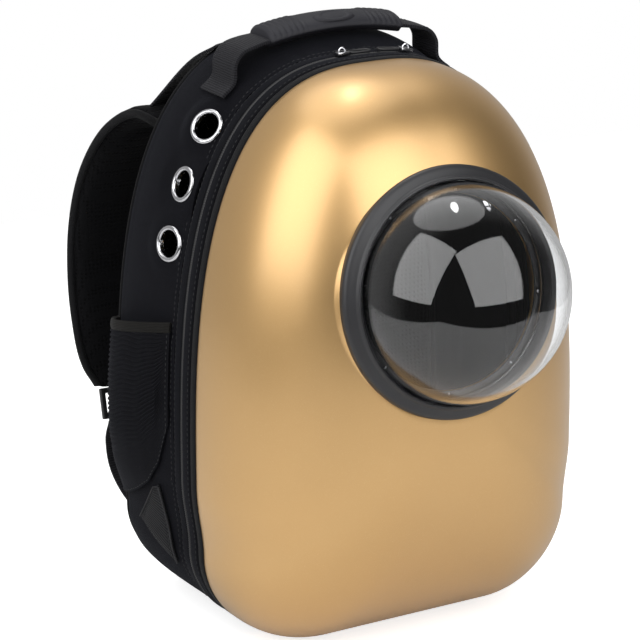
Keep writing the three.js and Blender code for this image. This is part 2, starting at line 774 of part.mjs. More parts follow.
// Long loop with rounded ends, of one wire width all round.
function loopShape(length, width, wire) {
  const outline = (target, halfLength, radius) => {
    const straight = halfLength - radius;
    target.absarc(straight, 0, radius, -QUARTER, QUARTER, false);
    target.absarc(-straight, 0, radius, QUARTER, 3 * QUARTER, false);
    target.closePath();
  };
  const shape = new THREE.Shape();
  outline(shape, length / 2, width / 2);
  const hole = new THREE.Path();
  outline(hole, length / 2 - wire, width / 2 - wire);
  shape.holes.push(hole);
  return shape;
}

const POCKET_BACK_DEPTH = BODY_DEPTH - POCKET_BACK_MARGIN;

// Pocket face: up runs from the bottom seam to the top edge, row is one of the table's rows.
function pocketPoint(side, row, up, extraHeight, extraLift) {
  const topHeight = lerp(POCKET_TOP_FRONT, POCKET_TOP_BACK, row.across);
  const height = lerp(topHeight * row.bottom, topHeight, up) + extraHeight;
  const depth = lerp(POCKET_FRONT_DEPTH, POCKET_BACK_DEPTH, row.across);
  const full = POCKET_FULLNESS * row.full * lookUp(POCKET_RISE, 'up', up, 'full');
  return onCloth(placeOnSide(side, height), depth, POCKET_LIFT + full + extraLift);
}

function addPocket(side, name) {
  const ups = [0, 0.08, 0.2, 0.4, 0.6, 0.8, 1];
  const grid = (lift) => ups.map((up) => POCKET_TABLE.map((row) => pocketPoint(side, row, up, 0, lift)));
  addMesh(`side_pocket_${name}`, wallSolid(grid(POCKET_WALL), grid(0), false), 'mesh_cloth');
  const rise = [GAP, GAP + ELASTIC_HEIGHT];
  const middle = (POCKET_WALL - ELASTIC_THICKNESS) / 2;
  const low = Math.max(GAP - POCKET_LIFT, middle);
  const band = (lift) => rise.map((height) => POCKET_TABLE.map((row) => pocketPoint(side, row, 1, height, lift)));
  addMesh(`pocket_elastic_${name}`, wallSolid(band(low + ELASTIC_THICKNESS), band(low), false), 'webbing');
}

// Webbing tab sewn flat on the side, widest at its foot.
function addTab(side, name) {
  const shares = [0, 0.33, 0.67, 1];
  const grid = (lift) => shares.map((up) => {
    const width = lerp(TAB_WIDTH, TAB_POINT_WIDTH, up);
    const place = placeOnSide(side, lerp(TAB_BOTTOM, TAB_TOP, up));
    return shares.map((across) => onCloth(place, TAB_DEPTH + width * (across - 0.5), lift));
  });
  const lift = 3 * GAP;
  addMesh(`corner_tab_${name}`, wallSolid(grid(lift + TAB_THICKNESS), grid(lift), false), 'webbing');
}

// Padded panel that closes the cloth's back edge.
function addBackPanel() {
  const shoulder = CLOTH_SECTION[CLOTH_SECTION.length - 1].out;
  const middle = new THREE.Vector3(0, 0, BAG_HEIGHT / 2);
  const ring = (inset, depth, shrink) => STATIONS.map((place) => {
    const edge = CLOTH_CROWN * place.swell * shoulder - BACK_EDGE_RADIUS - CLOTH_THICKNESS - GAP;
    const point = bandPoint(place, depth, edge - inset);
    point.x = lerp(point.x, middle.x, shrink);
    point.z = lerp(point.z, middle.z, shrink);
    return point;
  });
  const front = BODY_DEPTH + PANEL_PROUD - PANEL_THICKNESS;
  const back = BODY_DEPTH + PANEL_PROUD;
  const geometry = tubeSolid([
    ring(PANEL_EDGE_ROUND, front, 0),
    ring(0, front + PANEL_EDGE_ROUND / 2, 0),
    ring(0, back - PANEL_EDGE_ROUND / 2, 0),
    ring(PANEL_EDGE_ROUND, back, 0),
    ring(PANEL_EDGE_ROUND, back + PANEL_PUFF, 0.5),
  ]);
  addMesh('back_panel', geometry, 'mesh_cloth');
}

// Point of a strap table's row.
function strapPoint(side, row) {
  return new THREE.Vector3(
    side * row.across * BAG_WIDTH / 2,
    RIM_Y + BACK_FACE + STRAP_SEAT + row.back * STRAP_STANDOFF,
    row.height * BAG_HEIGHT,
  );
}

// Frame of a flat strap on a curve: along it, across its width and out of its face.
function strapFrame(curve, share, width, thickness) {
  const along = curve.getTangent(share);
  const across = new THREE.Vector3(1, 0, 0).addScaledVector(along, -along.x).normalize();
  const face = across.clone().cross(along).normalize();
  return { point: curve.getPoint(share), along, across, face, width, thickness };
}

// Closed section of a strap with soft edges.
function strapSection({ point, across, face, width, thickness }) {
  const edge = Math.min(thickness * 0.35, width * 0.1);
  const corners = [
    [width / 2, thickness / 2 - edge],
    [width / 2 - edge, thickness / 2],
    [edge - width / 2, thickness / 2],
    [-width / 2, thickness / 2 - edge],
    [-width / 2, edge - thickness / 2],
    [edge - width / 2, -thickness / 2],
    [width / 2 - edge, -thickness / 2],
    [width / 2, edge - thickness / 2],
  ];
  return corners.map(([a, b]) => point.clone().addScaledVector(across, a).addScaledVector(face, b));
}

function flatSection({ point, across, face, width, thickness }) {
  const corners = [[1, 1], [-1, 1], [-1, -1], [1, -1]];
  return corners.map(([a, b]) => point.clone()
    .addScaledVector(across, a * width / 2)
    .addScaledVector(face, b * thickness / 2));
}

const STRAP_STEPS = 15;

function strapFrames(side) {
  const curve = new THREE.CatmullRomCurve3(STRAP_PATH.map((row) => strapPoint(side, row)));
  const last = STRAP_PATH.length - 1;
  const frames = [];
  for (let i = 0; i <= STRAP_STEPS; i += 1) {
    const share = i / STRAP_STEPS;
    const rows = STRAP_PATH.map((row, j) => ({ step: j / last, width: row.width }));
    const width = STRAP_WIDTH * lookUp(rows, 'step', share, 'width');
    frames.push(strapFrame(curve, share, width, STRAP_THICKNESS));
  }
  return frames;
}

function addStrap(side, name) {
  const frames = strapFrames(side);
  addMesh(`shoulder_strap_${name}`, tubeSolid(frames.map(strapSection)), 'mesh_cloth');
  const sewn = Math.round(STRAP_STEPS * 0.27);
  addLifter(side, name, [frames[sewn - 1], frames[sewn]]);
  addBuckleAndWeb(side, name, frames[STRAP_STEPS]);
}

// Load lifter from the bag's rounded top edge to the strap's outer face, where its end is sewn.
function addLifter(side, name, straps) {
  const depth = BODY_DEPTH - BACK_EDGE_RADIUS / 2;
  const place = placeOnArch(side * LIFTER_START);
  const start = onCloth(place, depth, GAP + WEB_THICKNESS);
  const startFace = clothNormal(place, depth);
  const sewn = straps.map(({ point, along, across, face, thickness }) => {
    const turn = face.z > 0 ? 1 : -1;
    const lift = turn * ((thickness + WEB_THICKNESS) / 2 + GAP);
    return {
      point: point.clone().addScaledVector(face, lift).addScaledVector(across, side * LIFTER_SHIFT),
      along,
      across: across.clone().multiplyScalar(turn),
      face: face.clone().multiplyScalar(turn),
    };
  });
  const curve = new THREE.CatmullRomCurve3([start, sewn[0].point, sewn[1].point], false, 'chordal');
  const reach = start.distanceTo(sewn[0].point);
  const free = reach / (reach + sewn[0].point.distanceTo(sewn[1].point));
  const steps = 5;
  const frames = [];
  for (let i = 0; i < steps; i += 1) {
    const share = i / steps;
    const along = curve.getTangentAt(share * free);
    const face = startFace.clone().lerp(sewn[0].face, share);
    face.addScaledVector(along, -face.dot(along)).normalize();
    frames.push({ point: curve.getPointAt(share * free), across: along.clone().cross(face).normalize(), face });
  }
  const size = { width: LIFTER_WIDTH, thickness: WEB_THICKNESS };
  const loops = [...frames, sewn[0]].map((frame) => flatSection({ ...frame, ...size }));
  addMesh(`load_lifter_${name}`, tubeSolid(loops), 'webbing');
}

// Ladder lock below the strap, then webbing down to the foot of the back.
function addBuckleAndWeb(side, name, strap) {
  const centre = strap.point.clone().addScaledVector(strap.along, GAP + BUCKLE_LENGTH / 2);
  const plate = new THREE.Shape();
  const halfWidth = BUCKLE_WIDTH / 2;
  const halfLength = BUCKLE_LENGTH / 2;
  plate.moveTo(-halfWidth, -halfLength);
  plate.lineTo(halfWidth, -halfLength);
  plate.lineTo(halfWidth, halfLength);
  plate.lineTo(-halfWidth, halfLength);
  plate.closePath();
  const slotLength = (BUCKLE_LENGTH - 3 * BUCKLE_BAR) / 2;
  for (const start of [BUCKLE_BAR - halfLength, 2 * BUCKLE_BAR + slotLength - halfLength]) {
    const slot = new THREE.Path();
    slot.moveTo(BUCKLE_BAR - halfWidth, start);
    slot.lineTo(halfWidth - BUCKLE_BAR, start);
    slot.lineTo(halfWidth - BUCKLE_BAR, start + slotLength);
    slot.lineTo(BUCKLE_BAR - halfWidth, start + slotLength);
    slot.closePath();
    plate.holes.push(slot);
  }
  const geometry = new THREE.ExtrudeGeometry(plate, { depth: BUCKLE_THICKNESS, bevelEnabled: false });
  geometry.translate(0, 0, -BUCKLE_THICKNESS / 2);
  const buckle = addMesh(`strap_buckle_${name}`, geometry, 'black_plastic');
  const basis = new THREE.Matrix4().makeBasis(strap.across, strap.along, strap.across.clone().cross(strap.along));
  buckle.position.copy(centre);
  buckle.quaternion.setFromRotationMatrix(basis);

  const start = centre.clone().addScaledVector(strap.along, BUCKLE_LENGTH / 2 + GAP + WEB_THICKNESS / 2);
  const points = [start, ...WEB_PATH.map((row) => strapPoint(side, row))];
  const curve = new THREE.CatmullRomCurve3(points);
  const steps = 10;
  const frames = [];
  for (let i = 0; i <= steps; i += 1) frames.push(strapFrame(curve, i / steps, WEB_WIDTH, WEB_THICKNESS));
  addMesh(`strap_webbing_${name}`, tubeSolid(frames.map(flatSection)), 'webbing');
}

const GRIP_FOOT = BAG_HEIGHT + clothOutAt(HANDLE_DEPTH, 1) + FINGER_GAP;

// Point on the grip's rounded top; turn runs from its front edge over to its back edge.
function gripPoint(x, turn) {
  const foot = GRIP_FOOT - GRIP_DROP * (x / (GRIP_LENGTH / 2)) ** 2;
  const edge = GRIP_THICKNESS * 0.3;
  const y = RIM_Y + HANDLE_DEPTH - GRIP_WIDTH / 2 * Math.cos(turn);
  return new THREE.Vector3(x, y, foot + edge + (GRIP_THICKNESS - edge) * Math.sin(turn));
}

function gripLoop(x) {
  const steps = 7;
  const loop = [];
  for (let i = 0; i <= steps; i += 1) loop.push(gripPoint(x, Math.PI * i / steps));
  const foot = loop[0].z - GRIP_THICKNESS * 0.3;
  const inset = GRIP_THICKNESS * 0.2;
  loop.push(new THREE.Vector3(x, loop[steps].y - inset, foot));
  loop.push(new THREE.Vector3(x, loop[0].y + inset, foot));
  return loop;
}

function addGrip() {
  const loops = [];
  const steps = 8;
  for (let i = 0; i <= steps; i += 1) loops.push(gripLoop(lerp(-GRIP_LENGTH / 2, GRIP_LENGTH / 2, i / steps)));
  addMesh('handle_grip', tubeSolid(loops), 'rubber');
}

// Blank oval on the grip's front slope.
function addMedallion() {
  const segments = 16;
  const centre = gripPoint(0, MEDALLION_ANGLE);
  const ahead = gripPoint(0, MEDALLION_ANGLE + 0.05).sub(centre);
  const perRadian = ahead.length() / 0.05;
  const ring = (scale, lift) => {
    const loop = [];
    for (let i = 0; i < segments; i += 1) {
      const angle = 2 * Math.PI * i / segments;
      const x = MEDALLION_LENGTH / 2 * scale * Math.cos(angle);
      const turn = MEDALLION_ANGLE + MEDALLION_WIDTH / 2 * scale * Math.sin(angle) / perRadian;
      const point = gripPoint(x, turn);
      const slope = gripPoint(x, turn + 0.01).sub(gripPoint(x, turn - 0.01));
      const normal = new THREE.Vector3(0, -slope.z, slope.y).normalize();
      loop.push(point.addScaledVector(normal, lift));
    }
    return loop;
  };
  const foot = 2 * GAP;
  const top = foot + MEDALLION_HEIGHT;
  const loops = [ring(0.05, foot), ring(0.55, foot), ring(1, foot), ring(0.92, top), ring(0.5, top), ring(0.05, top)];
  addMesh('handle_medallion', tubeSolid(loops), 'rubber');
}

// Webbing from the grip's end, out and down to a foot that lies on the cloth.
function addHandleWeb(side, name) {
  const depths = [-0.5, -0.25, 0, 0.25, 0.5].map((share) => HANDLE_DEPTH + share * HANDLE_WEB_WIDTH);
  const half = HANDLE_WEB_THICKNESS / 2;
  const lift = 2 * GAP + half;
  const feet = [0, 1].map((share) => placeOnArch(side * (HANDLE_FOOT_X + share * HANDLE_FOOT_LENGTH)));
  const landing = onCloth(feet[0], HANDLE_DEPTH, lift);
  const endX = GRIP_LENGTH / 2 + GAP;
  const endZ = GRIP_FOOT - GRIP_DROP + GRIP_THICKNESS * 0.35;
  const middles = HANDLE_WEB_PATH.map(({ reach, rise }) => [
    lerp(endX, Math.abs(landing.x), reach),
    lerp(landing.z, endZ, rise),
  ]);
  const guide = [...middles, [Math.abs(landing.x), landing.z]];
  const face = (shift) => {
    const rows = middles.map(([x, z], i) => {
      const after = guide[i + 1];
      const before = guide[Math.max(0, i - 1)];
      const alongX = after[0] - before[0];
      const alongZ = after[1] - before[1];
      const length = Math.hypot(alongX, alongZ);
      const outX = i === 0 ? 0 : -alongZ / length;
      const outZ = i === 0 ? 1 : alongX / length;
      return depths.map((depth) => new THREE.Vector3(
        side * (x + outX * shift), RIM_Y + depth, z + outZ * shift,
      ));
    });
    feet.forEach((place) => rows.push(depths.map((depth) => onCloth(place, depth, lift + shift))));
    return rows;
  };
  addMesh(`handle_web_${name}`, wallSolid(face(half), face(-half), false), 'webbing');
}

addShell();
addWindow();
addBindingAndTape();
addChain();
addSliders();
addGusset();
addEyelets();
addBackPanel();
addGrip();
addMedallion();
for (const [side, name] of [[-1, 'left'], [1, 'right']]) {
  addPocket(side, name);
  addTab(side, name);
  addStrap(side, name);
  addHandleWeb(side, name);
}

export default root;
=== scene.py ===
# %% [markdown]
# # A pet carrier backpack with a clear bubble window
# The bag stands on its cloth base. A hard gold shell closes its front, a clear dome bulges out
# of the shell, and a black cloth gusset with vents, pockets and straps makes the rest. This
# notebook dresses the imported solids: each step models one piece and gives it its finish.

# %% Load the frame
import json
import math

import bpy
import numpy as np
from mathutils import Matrix, Vector

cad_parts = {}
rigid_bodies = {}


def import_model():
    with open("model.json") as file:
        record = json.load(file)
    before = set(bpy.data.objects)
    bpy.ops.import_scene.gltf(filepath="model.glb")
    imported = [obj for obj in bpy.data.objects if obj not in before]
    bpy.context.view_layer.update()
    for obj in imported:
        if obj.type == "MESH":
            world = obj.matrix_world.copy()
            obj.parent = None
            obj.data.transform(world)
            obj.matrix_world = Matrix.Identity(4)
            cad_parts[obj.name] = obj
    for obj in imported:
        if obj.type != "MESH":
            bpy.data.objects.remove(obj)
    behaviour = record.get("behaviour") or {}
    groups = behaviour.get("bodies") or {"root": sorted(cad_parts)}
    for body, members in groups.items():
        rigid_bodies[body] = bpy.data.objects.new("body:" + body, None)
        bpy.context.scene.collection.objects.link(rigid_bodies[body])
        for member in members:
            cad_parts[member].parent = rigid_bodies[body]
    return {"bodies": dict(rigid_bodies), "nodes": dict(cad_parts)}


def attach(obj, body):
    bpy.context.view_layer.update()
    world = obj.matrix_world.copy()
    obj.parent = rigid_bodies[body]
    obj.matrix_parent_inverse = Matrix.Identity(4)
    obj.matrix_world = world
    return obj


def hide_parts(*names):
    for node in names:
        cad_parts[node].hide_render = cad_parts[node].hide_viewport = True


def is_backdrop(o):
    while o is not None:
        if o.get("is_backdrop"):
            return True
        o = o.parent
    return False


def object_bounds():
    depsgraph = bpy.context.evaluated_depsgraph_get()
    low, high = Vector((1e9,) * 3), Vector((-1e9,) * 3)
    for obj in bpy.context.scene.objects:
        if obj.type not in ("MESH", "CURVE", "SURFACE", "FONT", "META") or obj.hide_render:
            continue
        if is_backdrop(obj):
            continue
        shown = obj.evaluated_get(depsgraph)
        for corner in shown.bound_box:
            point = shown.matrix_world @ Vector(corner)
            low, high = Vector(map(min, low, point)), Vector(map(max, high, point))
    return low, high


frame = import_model()
cad_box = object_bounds()
BODY = list(frame["bodies"])[0]
print("Frame of", len(frame["nodes"]), "nodes on body", BODY)

# %% [markdown]
# ## Camera
# The camera comes first, because each piece is judged from where the photograph was taken: from
# the left, a little above, with a long lens that keeps the sides of the bag nearly parallel.

# %% Camera
CAMERA_PLACE = Vector((-0.965, -1.698, 0.841))
CAMERA_YAW = math.radians(29.42)
CAMERA_PITCH = math.radians(17.94)
CAMERA_ROLL = math.radians(-0.26)
LENS = 153.2


def camera_axes():
    """Right, up and backward axes of the camera."""
    ahead = Vector((
        math.sin(CAMERA_YAW) * math.cos(CAMERA_PITCH),
        math.cos(CAMERA_YAW) * math.cos(CAMERA_PITCH),
        -math.sin(CAMERA_PITCH),
    ))
    right = Vector((math.cos(CAMERA_YAW), -math.sin(CAMERA_YAW), 0))
    up = right.cross(ahead)
    cos, sin = math.cos(CAMERA_ROLL), math.sin(CAMERA_ROLL)
    return cos * right + sin * up, cos * up - sin * right, -ahead


bpy.ops.object.select_all(action="DESELECT")
bpy.ops.object.camera_add(location=CAMERA_PLACE)
camera = bpy.context.object
camera.name = "photo_camera"
camera.data.lens = LENS
camera.data.sensor_width = 36
camera.data.clip_end = 50
camera.rotation_mode = "QUATERNION"
camera.rotation_quaternion = Matrix(camera_axes()).transposed().to_quaternion()
bpy.context.scene.camera = camera
print("Camera", tuple(round(v, 3) for v in camera.location), "lens", LENS)

# %% [markdown]
# ## Sizes
# All the sizes are in millimetres, as a maker's drawing would give them. The outline, the shell's
# bulge and the cloth's crown are the same functions as in the solids, so every piece lands where
# its solid is, only with many more points.

# %% Sizes of the bag
MM = 0.001
BAG_WIDTH = 292
BAG_HEIGHT = 420
BASE_WIDTH = 282
BASE_CORNER = 69
ARCH_START = 122
ARCH_EXPONENT = 2.74
SHELL_DEPTH = 127
SHELL_EXPONENT = 2.32
SHELL_FRONT_HEIGHT = 208
SHELL_WALL = 2.5
WINDOW_HEIGHT = 277
RING_RADIUS = 89
SEAT_SINK = 3
SEAT_RADIUS = 84
SEAT_BLEND = 5
DOME_RADIUS = 77.5
DOME_NECK = 12.3
DOME_WALL = 2.5
GAP = 0.3
BINDING_WIDTH = 9
TAPE_START = 9.6
TAPE_WIDTH = 25
CLOTH_START = 34.9
CLOTH_CROWN = 8
BACK_EDGE = 20
BODY_DEPTH = 127.9
RIM_Y = -BODY_DEPTH / 2
BACK_FACE = BODY_DEPTH + 8
CLOTH_ALONG = (0, 0.18, 0.42, 0.7, 1)
CLOTH_OUT = (0, 0.4, 0.8, 1, 0.78)
CLOTH_CURVE = np.polyfit(CLOTH_ALONG, CLOTH_OUT, len(CLOTH_ALONG) - 1)
SIDES = ((-1, "left"), (1, "right"))


def smoothstep(value):
    t = min(1, max(0, value))
    return t * t * (3 - 2 * t)


def mix(a, b, share):
    return a + (b - a) * share


# %% Outline of the bag, seen from the front
def half_outline(count=900):
    """Evenly spaced points from the middle of the base, up the right side to the top."""
    flat = BASE_WIDTH / 2 - BASE_CORNER
    turn = np.linspace(0, math.pi / 2, 300)
    rise = np.linspace(0, 1, 60)
    eased = rise * rise * (3 - 2 * rise)
    x = [np.linspace(0, flat, 60), flat + BASE_CORNER * np.sin(turn)]
    z = [np.zeros(60), BASE_CORNER * (1 - np.cos(turn))]
    x.append(BASE_WIDTH / 2 + (BAG_WIDTH - BASE_WIDTH) / 2 * eased)
    z.append(BASE_CORNER + (ARCH_START - BASE_CORNER) * rise)
    power = 2 / ARCH_EXPONENT
    x.append(BAG_WIDTH / 2 * np.abs(np.cos(turn)) ** power)
    z.append(ARCH_START + (BAG_HEIGHT - ARCH_START) * np.sin(turn) ** power)
    x, z = np.concatenate(x), np.concatenate(z)
    run = np.concatenate([[0], np.cumsum(np.hypot(np.diff(x), np.diff(z)))])
    even = np.linspace(0, run[-1], count)
    return np.interp(even, run, x), np.interp(even, run, z), run[-1]


HALF_X, HALF_Z, HALF_LENGTH = half_outline()
HALF_X[-1] = 0
HALF_RUN = np.linspace(0, 0.5, len(HALF_X))
slope_x, slope_z = np.gradient(HALF_X), np.gradient(HALF_Z)
slope = np.hypot(slope_x, slope_z)
HALF_NX, HALF_NZ = slope_z / slope, -slope_x / slope
print("Outline round the bag:", round(2 * HALF_LENGTH), "mm")


def place_at(share):
    """Place on the outline at a share of its length from the middle of the base, as
    x, z, outward direction and how far the cloth swells there."""
    share %= 1
    side = 1 if share <= 0.5 else -1
    run = share if side == 1 else 1 - share
    x, z, nx, nz = (float(np.interp(run, HALF_RUN, row)) for row in (HALF_X, HALF_Z, HALF_NX, HALF_NZ))
    return side * x, z, side * nx, nz, smoothstep(z / BASE_CORNER)


def share_on_side(side, height):
    run = float(np.interp(height, HALF_Z, HALF_RUN))
    return run if side == 1 else 1 - run


def share_on_arch(across):
    arch = HALF_Z >= ARCH_START
    run = float(np.interp(abs(across), HALF_X[arch][::-1], HALF_RUN[arch][::-1]))
    return run if across >= 0 else 1 - run


# %% Surfaces that follow the outline
def band_point(place, depth, out):
    """Point at a depth behind the rim and a distance out from the outline."""
    x, z, nx, nz, _ = place
    return Vector((x + nx * out, RIM_Y + depth, z + nz * out))


def cloth_out(depth, swell):
    """How far the cloth stands out from the outline at a depth behind the rim."""
    edge = BODY_DEPTH - BACK_EDGE
    along = min(1, max(0, (depth - CLOTH_START) / (edge - CLOTH_START)))
    out = CLOTH_CROWN * swell * float(np.polyval(CLOTH_CURVE, along))
    past = min(BACK_EDGE, max(0, depth - edge))
    return out - BACK_EDGE + math.sqrt(BACK_EDGE ** 2 - past ** 2)


def cloth_normal(place, depth):
    rise = cloth_out(depth + 0.5, place[4]) - cloth_out(depth - 0.5, place[4])
    return Vector((place[2], -rise, place[3])).normalized()


def on_cloth(place, depth, lift):
    point = band_point(place, depth, cloth_out(depth, place[4]))
    return point + cloth_normal(place, depth) * lift


# %% Surface of the shell
REACH_ANGLES = np.arctan2(HALF_Z - SHELL_FRONT_HEIGHT, HALF_X)
REACH = np.hypot(HALF_Z - SHELL_FRONT_HEIGHT, HALF_X)


def bulge(x, z):
    """How far the plain shell stands in front of the rim."""
    rise = z - SHELL_FRONT_HEIGHT
    reach = float(np.interp(math.atan2(rise, abs(x)), REACH_ANGLES, REACH))
    share = min(1, math.hypot(x, rise) / reach)
    return SHELL_DEPTH * (1 - share ** SHELL_EXPONENT) ** (1 / SHELL_EXPONENT)


SEAT_TOP = bulge(0, WINDOW_HEIGHT + RING_RADIUS)
SEAT_FOOT = bulge(0, WINDOW_HEIGHT - RING_RADIUS)
SEAT_TILT = math.atan2(SEAT_FOOT - SEAT_TOP, 2 * RING_RADIUS)
SEAT_DEPTH = (SEAT_TOP + SEAT_FOOT) / 2 - SEAT_SINK
LINER_RADIUS = DOME_RADIUS - DOME_WALL - GAP
WINDOW_RADIUS = LINER_RADIUS - 5


def seat_point(radius, angle):
    up = radius * math.sin(angle)
    ahead = SEAT_DEPTH - up * math.sin(SEAT_TILT)
    return Vector((radius * math.cos(angle), RIM_Y - ahead, WINDOW_HEIGHT + up * math.cos(SEAT_TILT)))


def shell_point(x, z):
    """The bulge, eased into the flat seat of the window."""
    up = (z - WINDOW_HEIGHT) / math.cos(SEAT_TILT)
    flat = SEAT_DEPTH - (z - WINDOW_HEIGHT) * math.tan(SEAT_TILT)
    ease = smoothstep((math.hypot(x, up) - SEAT_RADIUS) / SEAT_BLEND)
    return Vector((x, RIM_Y - mix(flat, bulge(x, z), ease), z))


print("Seat of the window:", round(SEAT_DEPTH, 1), "mm ahead, tilted", round(math.degrees(SEAT_TILT), 1))

# %% [markdown]
# ## Ways of making
# Nearly every piece here is cloth or a moulded skin, so one helper does most of the work: a grid
# primitive is laid over a surface, the way cloth is laid over a form. A second helper spins a
# profile, as on a lathe. The grid keeps a UV map in metres, so that a weave has one real size.


# %% Object helpers
def pick(*pieces):
    """Leaves edit mode and selects only these pieces."""
    if bpy.context.object and bpy.context.object.mode != "OBJECT":
        bpy.ops.object.mode_set(mode="OBJECT")
    bpy.ops.object.select_all(action="DESELECT")
    for piece in pieces:
        piece.select_set(True)
    if pieces:
        bpy.context.view_layer.objects.active = pieces[-1]


def finish_mesh(piece, merge=2e-6):
    """Merges doubles and turns the faces out."""
    pick(piece)
    bpy.ops.object.mode_set(mode="EDIT")
    bpy.ops.mesh.select_all(action="SELECT")
    bpy.ops.mesh.remove_doubles(threshold=merge)
    bpy.ops.mesh.dissolve_degenerate(threshold=merge)
    bpy.ops.mesh.normals_make_consistent(inside=False)
    bpy.ops.object.mode_set(mode="OBJECT")


def apply_modifier(piece, kind, **settings):
    pick(piece)
    modifier = piece.modifiers.new(kind.lower(), kind)
    for name, value in settings.items():
        setattr(modifier, name, value)
    bpy.ops.object.modifier_apply(modifier=modifier.name)


def smooth(piece, angle=40):
    pick(piece)
    bpy.ops.object.shade_smooth_by_angle(angle=math.radians(angle))


# %% A grid laid over a surface
def meet(share):
    """Share along a closed direction, whose end is its start."""
    return 0 if share > 1 - 1e-5 else share


def lay_grid(name, columns, rows, place, size, wraps=False):
    """Grid whose point at shares u and v is place(u, v), in millimetres. size is its width and
    height in millimetres, for the UV map. With wraps, its last column meets the first."""
    pick()
    bpy.ops.mesh.primitive_grid_add(x_subdivisions=columns, y_subdivisions=rows, size=1)
    piece = bpy.context.object
    piece.name = name
    piece.data.name = name
    shares = [(vertex.co.x + 0.5, vertex.co.y + 0.5) for vertex in piece.data.vertices]
    uv = piece.data.uv_layers[0]
    for loop in piece.data.loops:
        u, v = shares[loop.vertex_index]
        uv.data[loop.index].uv = (u * size[0] * MM, v * size[1] * MM)
    for vertex, (u, v) in zip(piece.data.vertices, shares):
        vertex.co = place(meet(u) if wraps else u, v) * MM
    finish_mesh(piece)
    return piece


def thicken(piece, wall, edge=0):
    """Gives a skin its wall, on its inner side, and rounds its free edges."""
    apply_modifier(piece, "SOLIDIFY", thickness=wall * MM, offset=-1, use_even_offset=True)
    if edge:
        rounding = {"width": edge * MM, "segments": 2}
        apply_modifier(piece, "BEVEL", limit_method="ANGLE", angle_limit=math.radians(60), **rounding)
    smooth(piece)


# %% A profile spun round an axis
def spin_profile(name, profile, steps, place, angle=40):
    """Closed profile of radius and height in millimetres, spun round Z, then set at a place."""
    pick()
    bpy.ops.mesh.primitive_circle_add(vertices=len(profile), radius=1)
    piece = bpy.context.object
    piece.name = name
    piece.data.name = name
    for vertex, (radius, height) in zip(piece.data.vertices, profile):
        vertex.co = Vector((radius, 0, height)) * MM
    bpy.ops.object.mode_set(mode="EDIT")
    bpy.ops.mesh.select_all(action="SELECT")
    bpy.ops.mesh.spin(steps=steps, angle=2 * math.pi, center=(0, 0, 0), axis=(0, 0, 1))
    finish_mesh(piece, merge=5e-6)
    smooth(piece, angle)
    piece.data.transform(place)
    return piece


def turned_to(centre, axis):
    """Place of a spun piece: its centre in millimetres and where its axis points."""
    turn = Vector(axis).to_track_quat("Z", "Y").to_matrix().to_4x4()
    return Matrix.Translation(Vector(centre) * MM) @ turn


# %% Copies of one small shape along a line
def repeat(name, shape, places):
    """One mesh of many copies of a small shape, each at its own place, in metres."""
    count = len(shape.data.vertices)
    base = np.array([tuple(vertex.co) + (1,) for vertex in shape.data.vertices])
    faces = [tuple(face.vertices) for face in shape.data.polygons]
    points, sides = [], []
    for i, place in enumerate(places):
        points.extend((base @ np.array(place).T)[:, :3].tolist())
        sides.extend(tuple(v + i * count for v in face) for face in faces)
    mesh = bpy.data.meshes.new(name)
    mesh.from_pydata(points, [], sides)
    piece = bpy.data.objects.new(name, mesh)
    bpy.context.scene.collection.objects.link(piece)
    smooth(piece, 60)
    return piece


def frame_place(point, along, normal):
    """Matrix with X along a line, Z out of the surface and its origin at a point in millimetres."""
    along = along.normalized()
    normal = (normal - along * normal.dot(along)).normalized()
    turn = Matrix((along, normal.cross(along), normal)).transposed().to_4x4()
    return Matrix.Translation(point * MM) @ turn


def stitch_shape(length=2.6, width=0.7):
    """One stitch: a short thread with rounded ends, half sunk in the cloth."""
    pick()
    bpy.ops.mesh.primitive_uv_sphere_add(segments=6, ring_count=4, radius=0.5)
    stitch = bpy.context.object
    stitch.data.transform(Matrix.Rotation(math.pi / 2, 4, "Y"))
    stitch.data.transform(Matrix.Diagonal((length * MM, width * MM, width * 0.8 * MM, 1)))
    return stitch


STITCH = stitch_shape()


def sew(name, line, pitch=4.2):
    """Stitches along a line of points and normals, in millimetres."""
    points = [point for point, _ in line]
    run = np.concatenate([[0], np.cumsum([(b - a).length for a, b in zip(points, points[1:])])])
    places = []
    for distance in np.arange(pitch / 2, run[-1], pitch):
        i = min(len(points) - 2, max(0, int(np.searchsorted(run, distance)) - 1))
        share = (distance - run[i]) / max(1e-6, run[i + 1] - run[i])
        point = points[i].lerp(points[i + 1], share)
        places.append(frame_place(point, points[i + 1] - points[i], line[i][1]))
    return repeat(name, STITCH, places)


# %% [markdown]
# ## Finishes
# Each finish is one Principled material. What several share, such as a weave, ribs or a slow
# change of tone, is a node group with named inputs, built once and placed with its own values.


# %% Node helpers
def new_group(name, inputs, outputs):
    group = bpy.data.node_groups.new(name, "ShaderNodeTree")
    for label, kind, value in inputs:
        socket = group.interface.new_socket(name=label, in_out="INPUT", socket_type=kind)
        if value is not None:
            socket.default_value = value
    for label, kind in outputs:
        group.interface.new_socket(name=label, in_out="OUTPUT", socket_type=kind)
    return group, group.nodes.new("NodeGroupInput"), group.nodes.new("NodeGroupOutput")


def add_node(tree, kind, inputs=None, **settings):
    """Adds a node; inputs maps a socket to a value or to another node's output."""
    node = tree.nodes.new(kind)
    for name, value in settings.items():
        setattr(node, name, value)
    for socket, value in (inputs or {}).items():
        if isinstance(value, bpy.types.NodeSocket):
            tree.links.new(value, node.inputs[socket])
        else:
            node.inputs[socket].default_value = value
    return node


def math_node(tree, operation, *values):
    return add_node(tree, "ShaderNodeMath", dict(enumerate(values)), operation=operation).outputs[0]


def noise(tree, vector, scale, detail, **settings):
    inputs = {"Vector": vector, "Scale": scale, "Detail": detail, **settings}
    return add_node(tree, "ShaderNodeTexNoise", inputs).outputs[0]


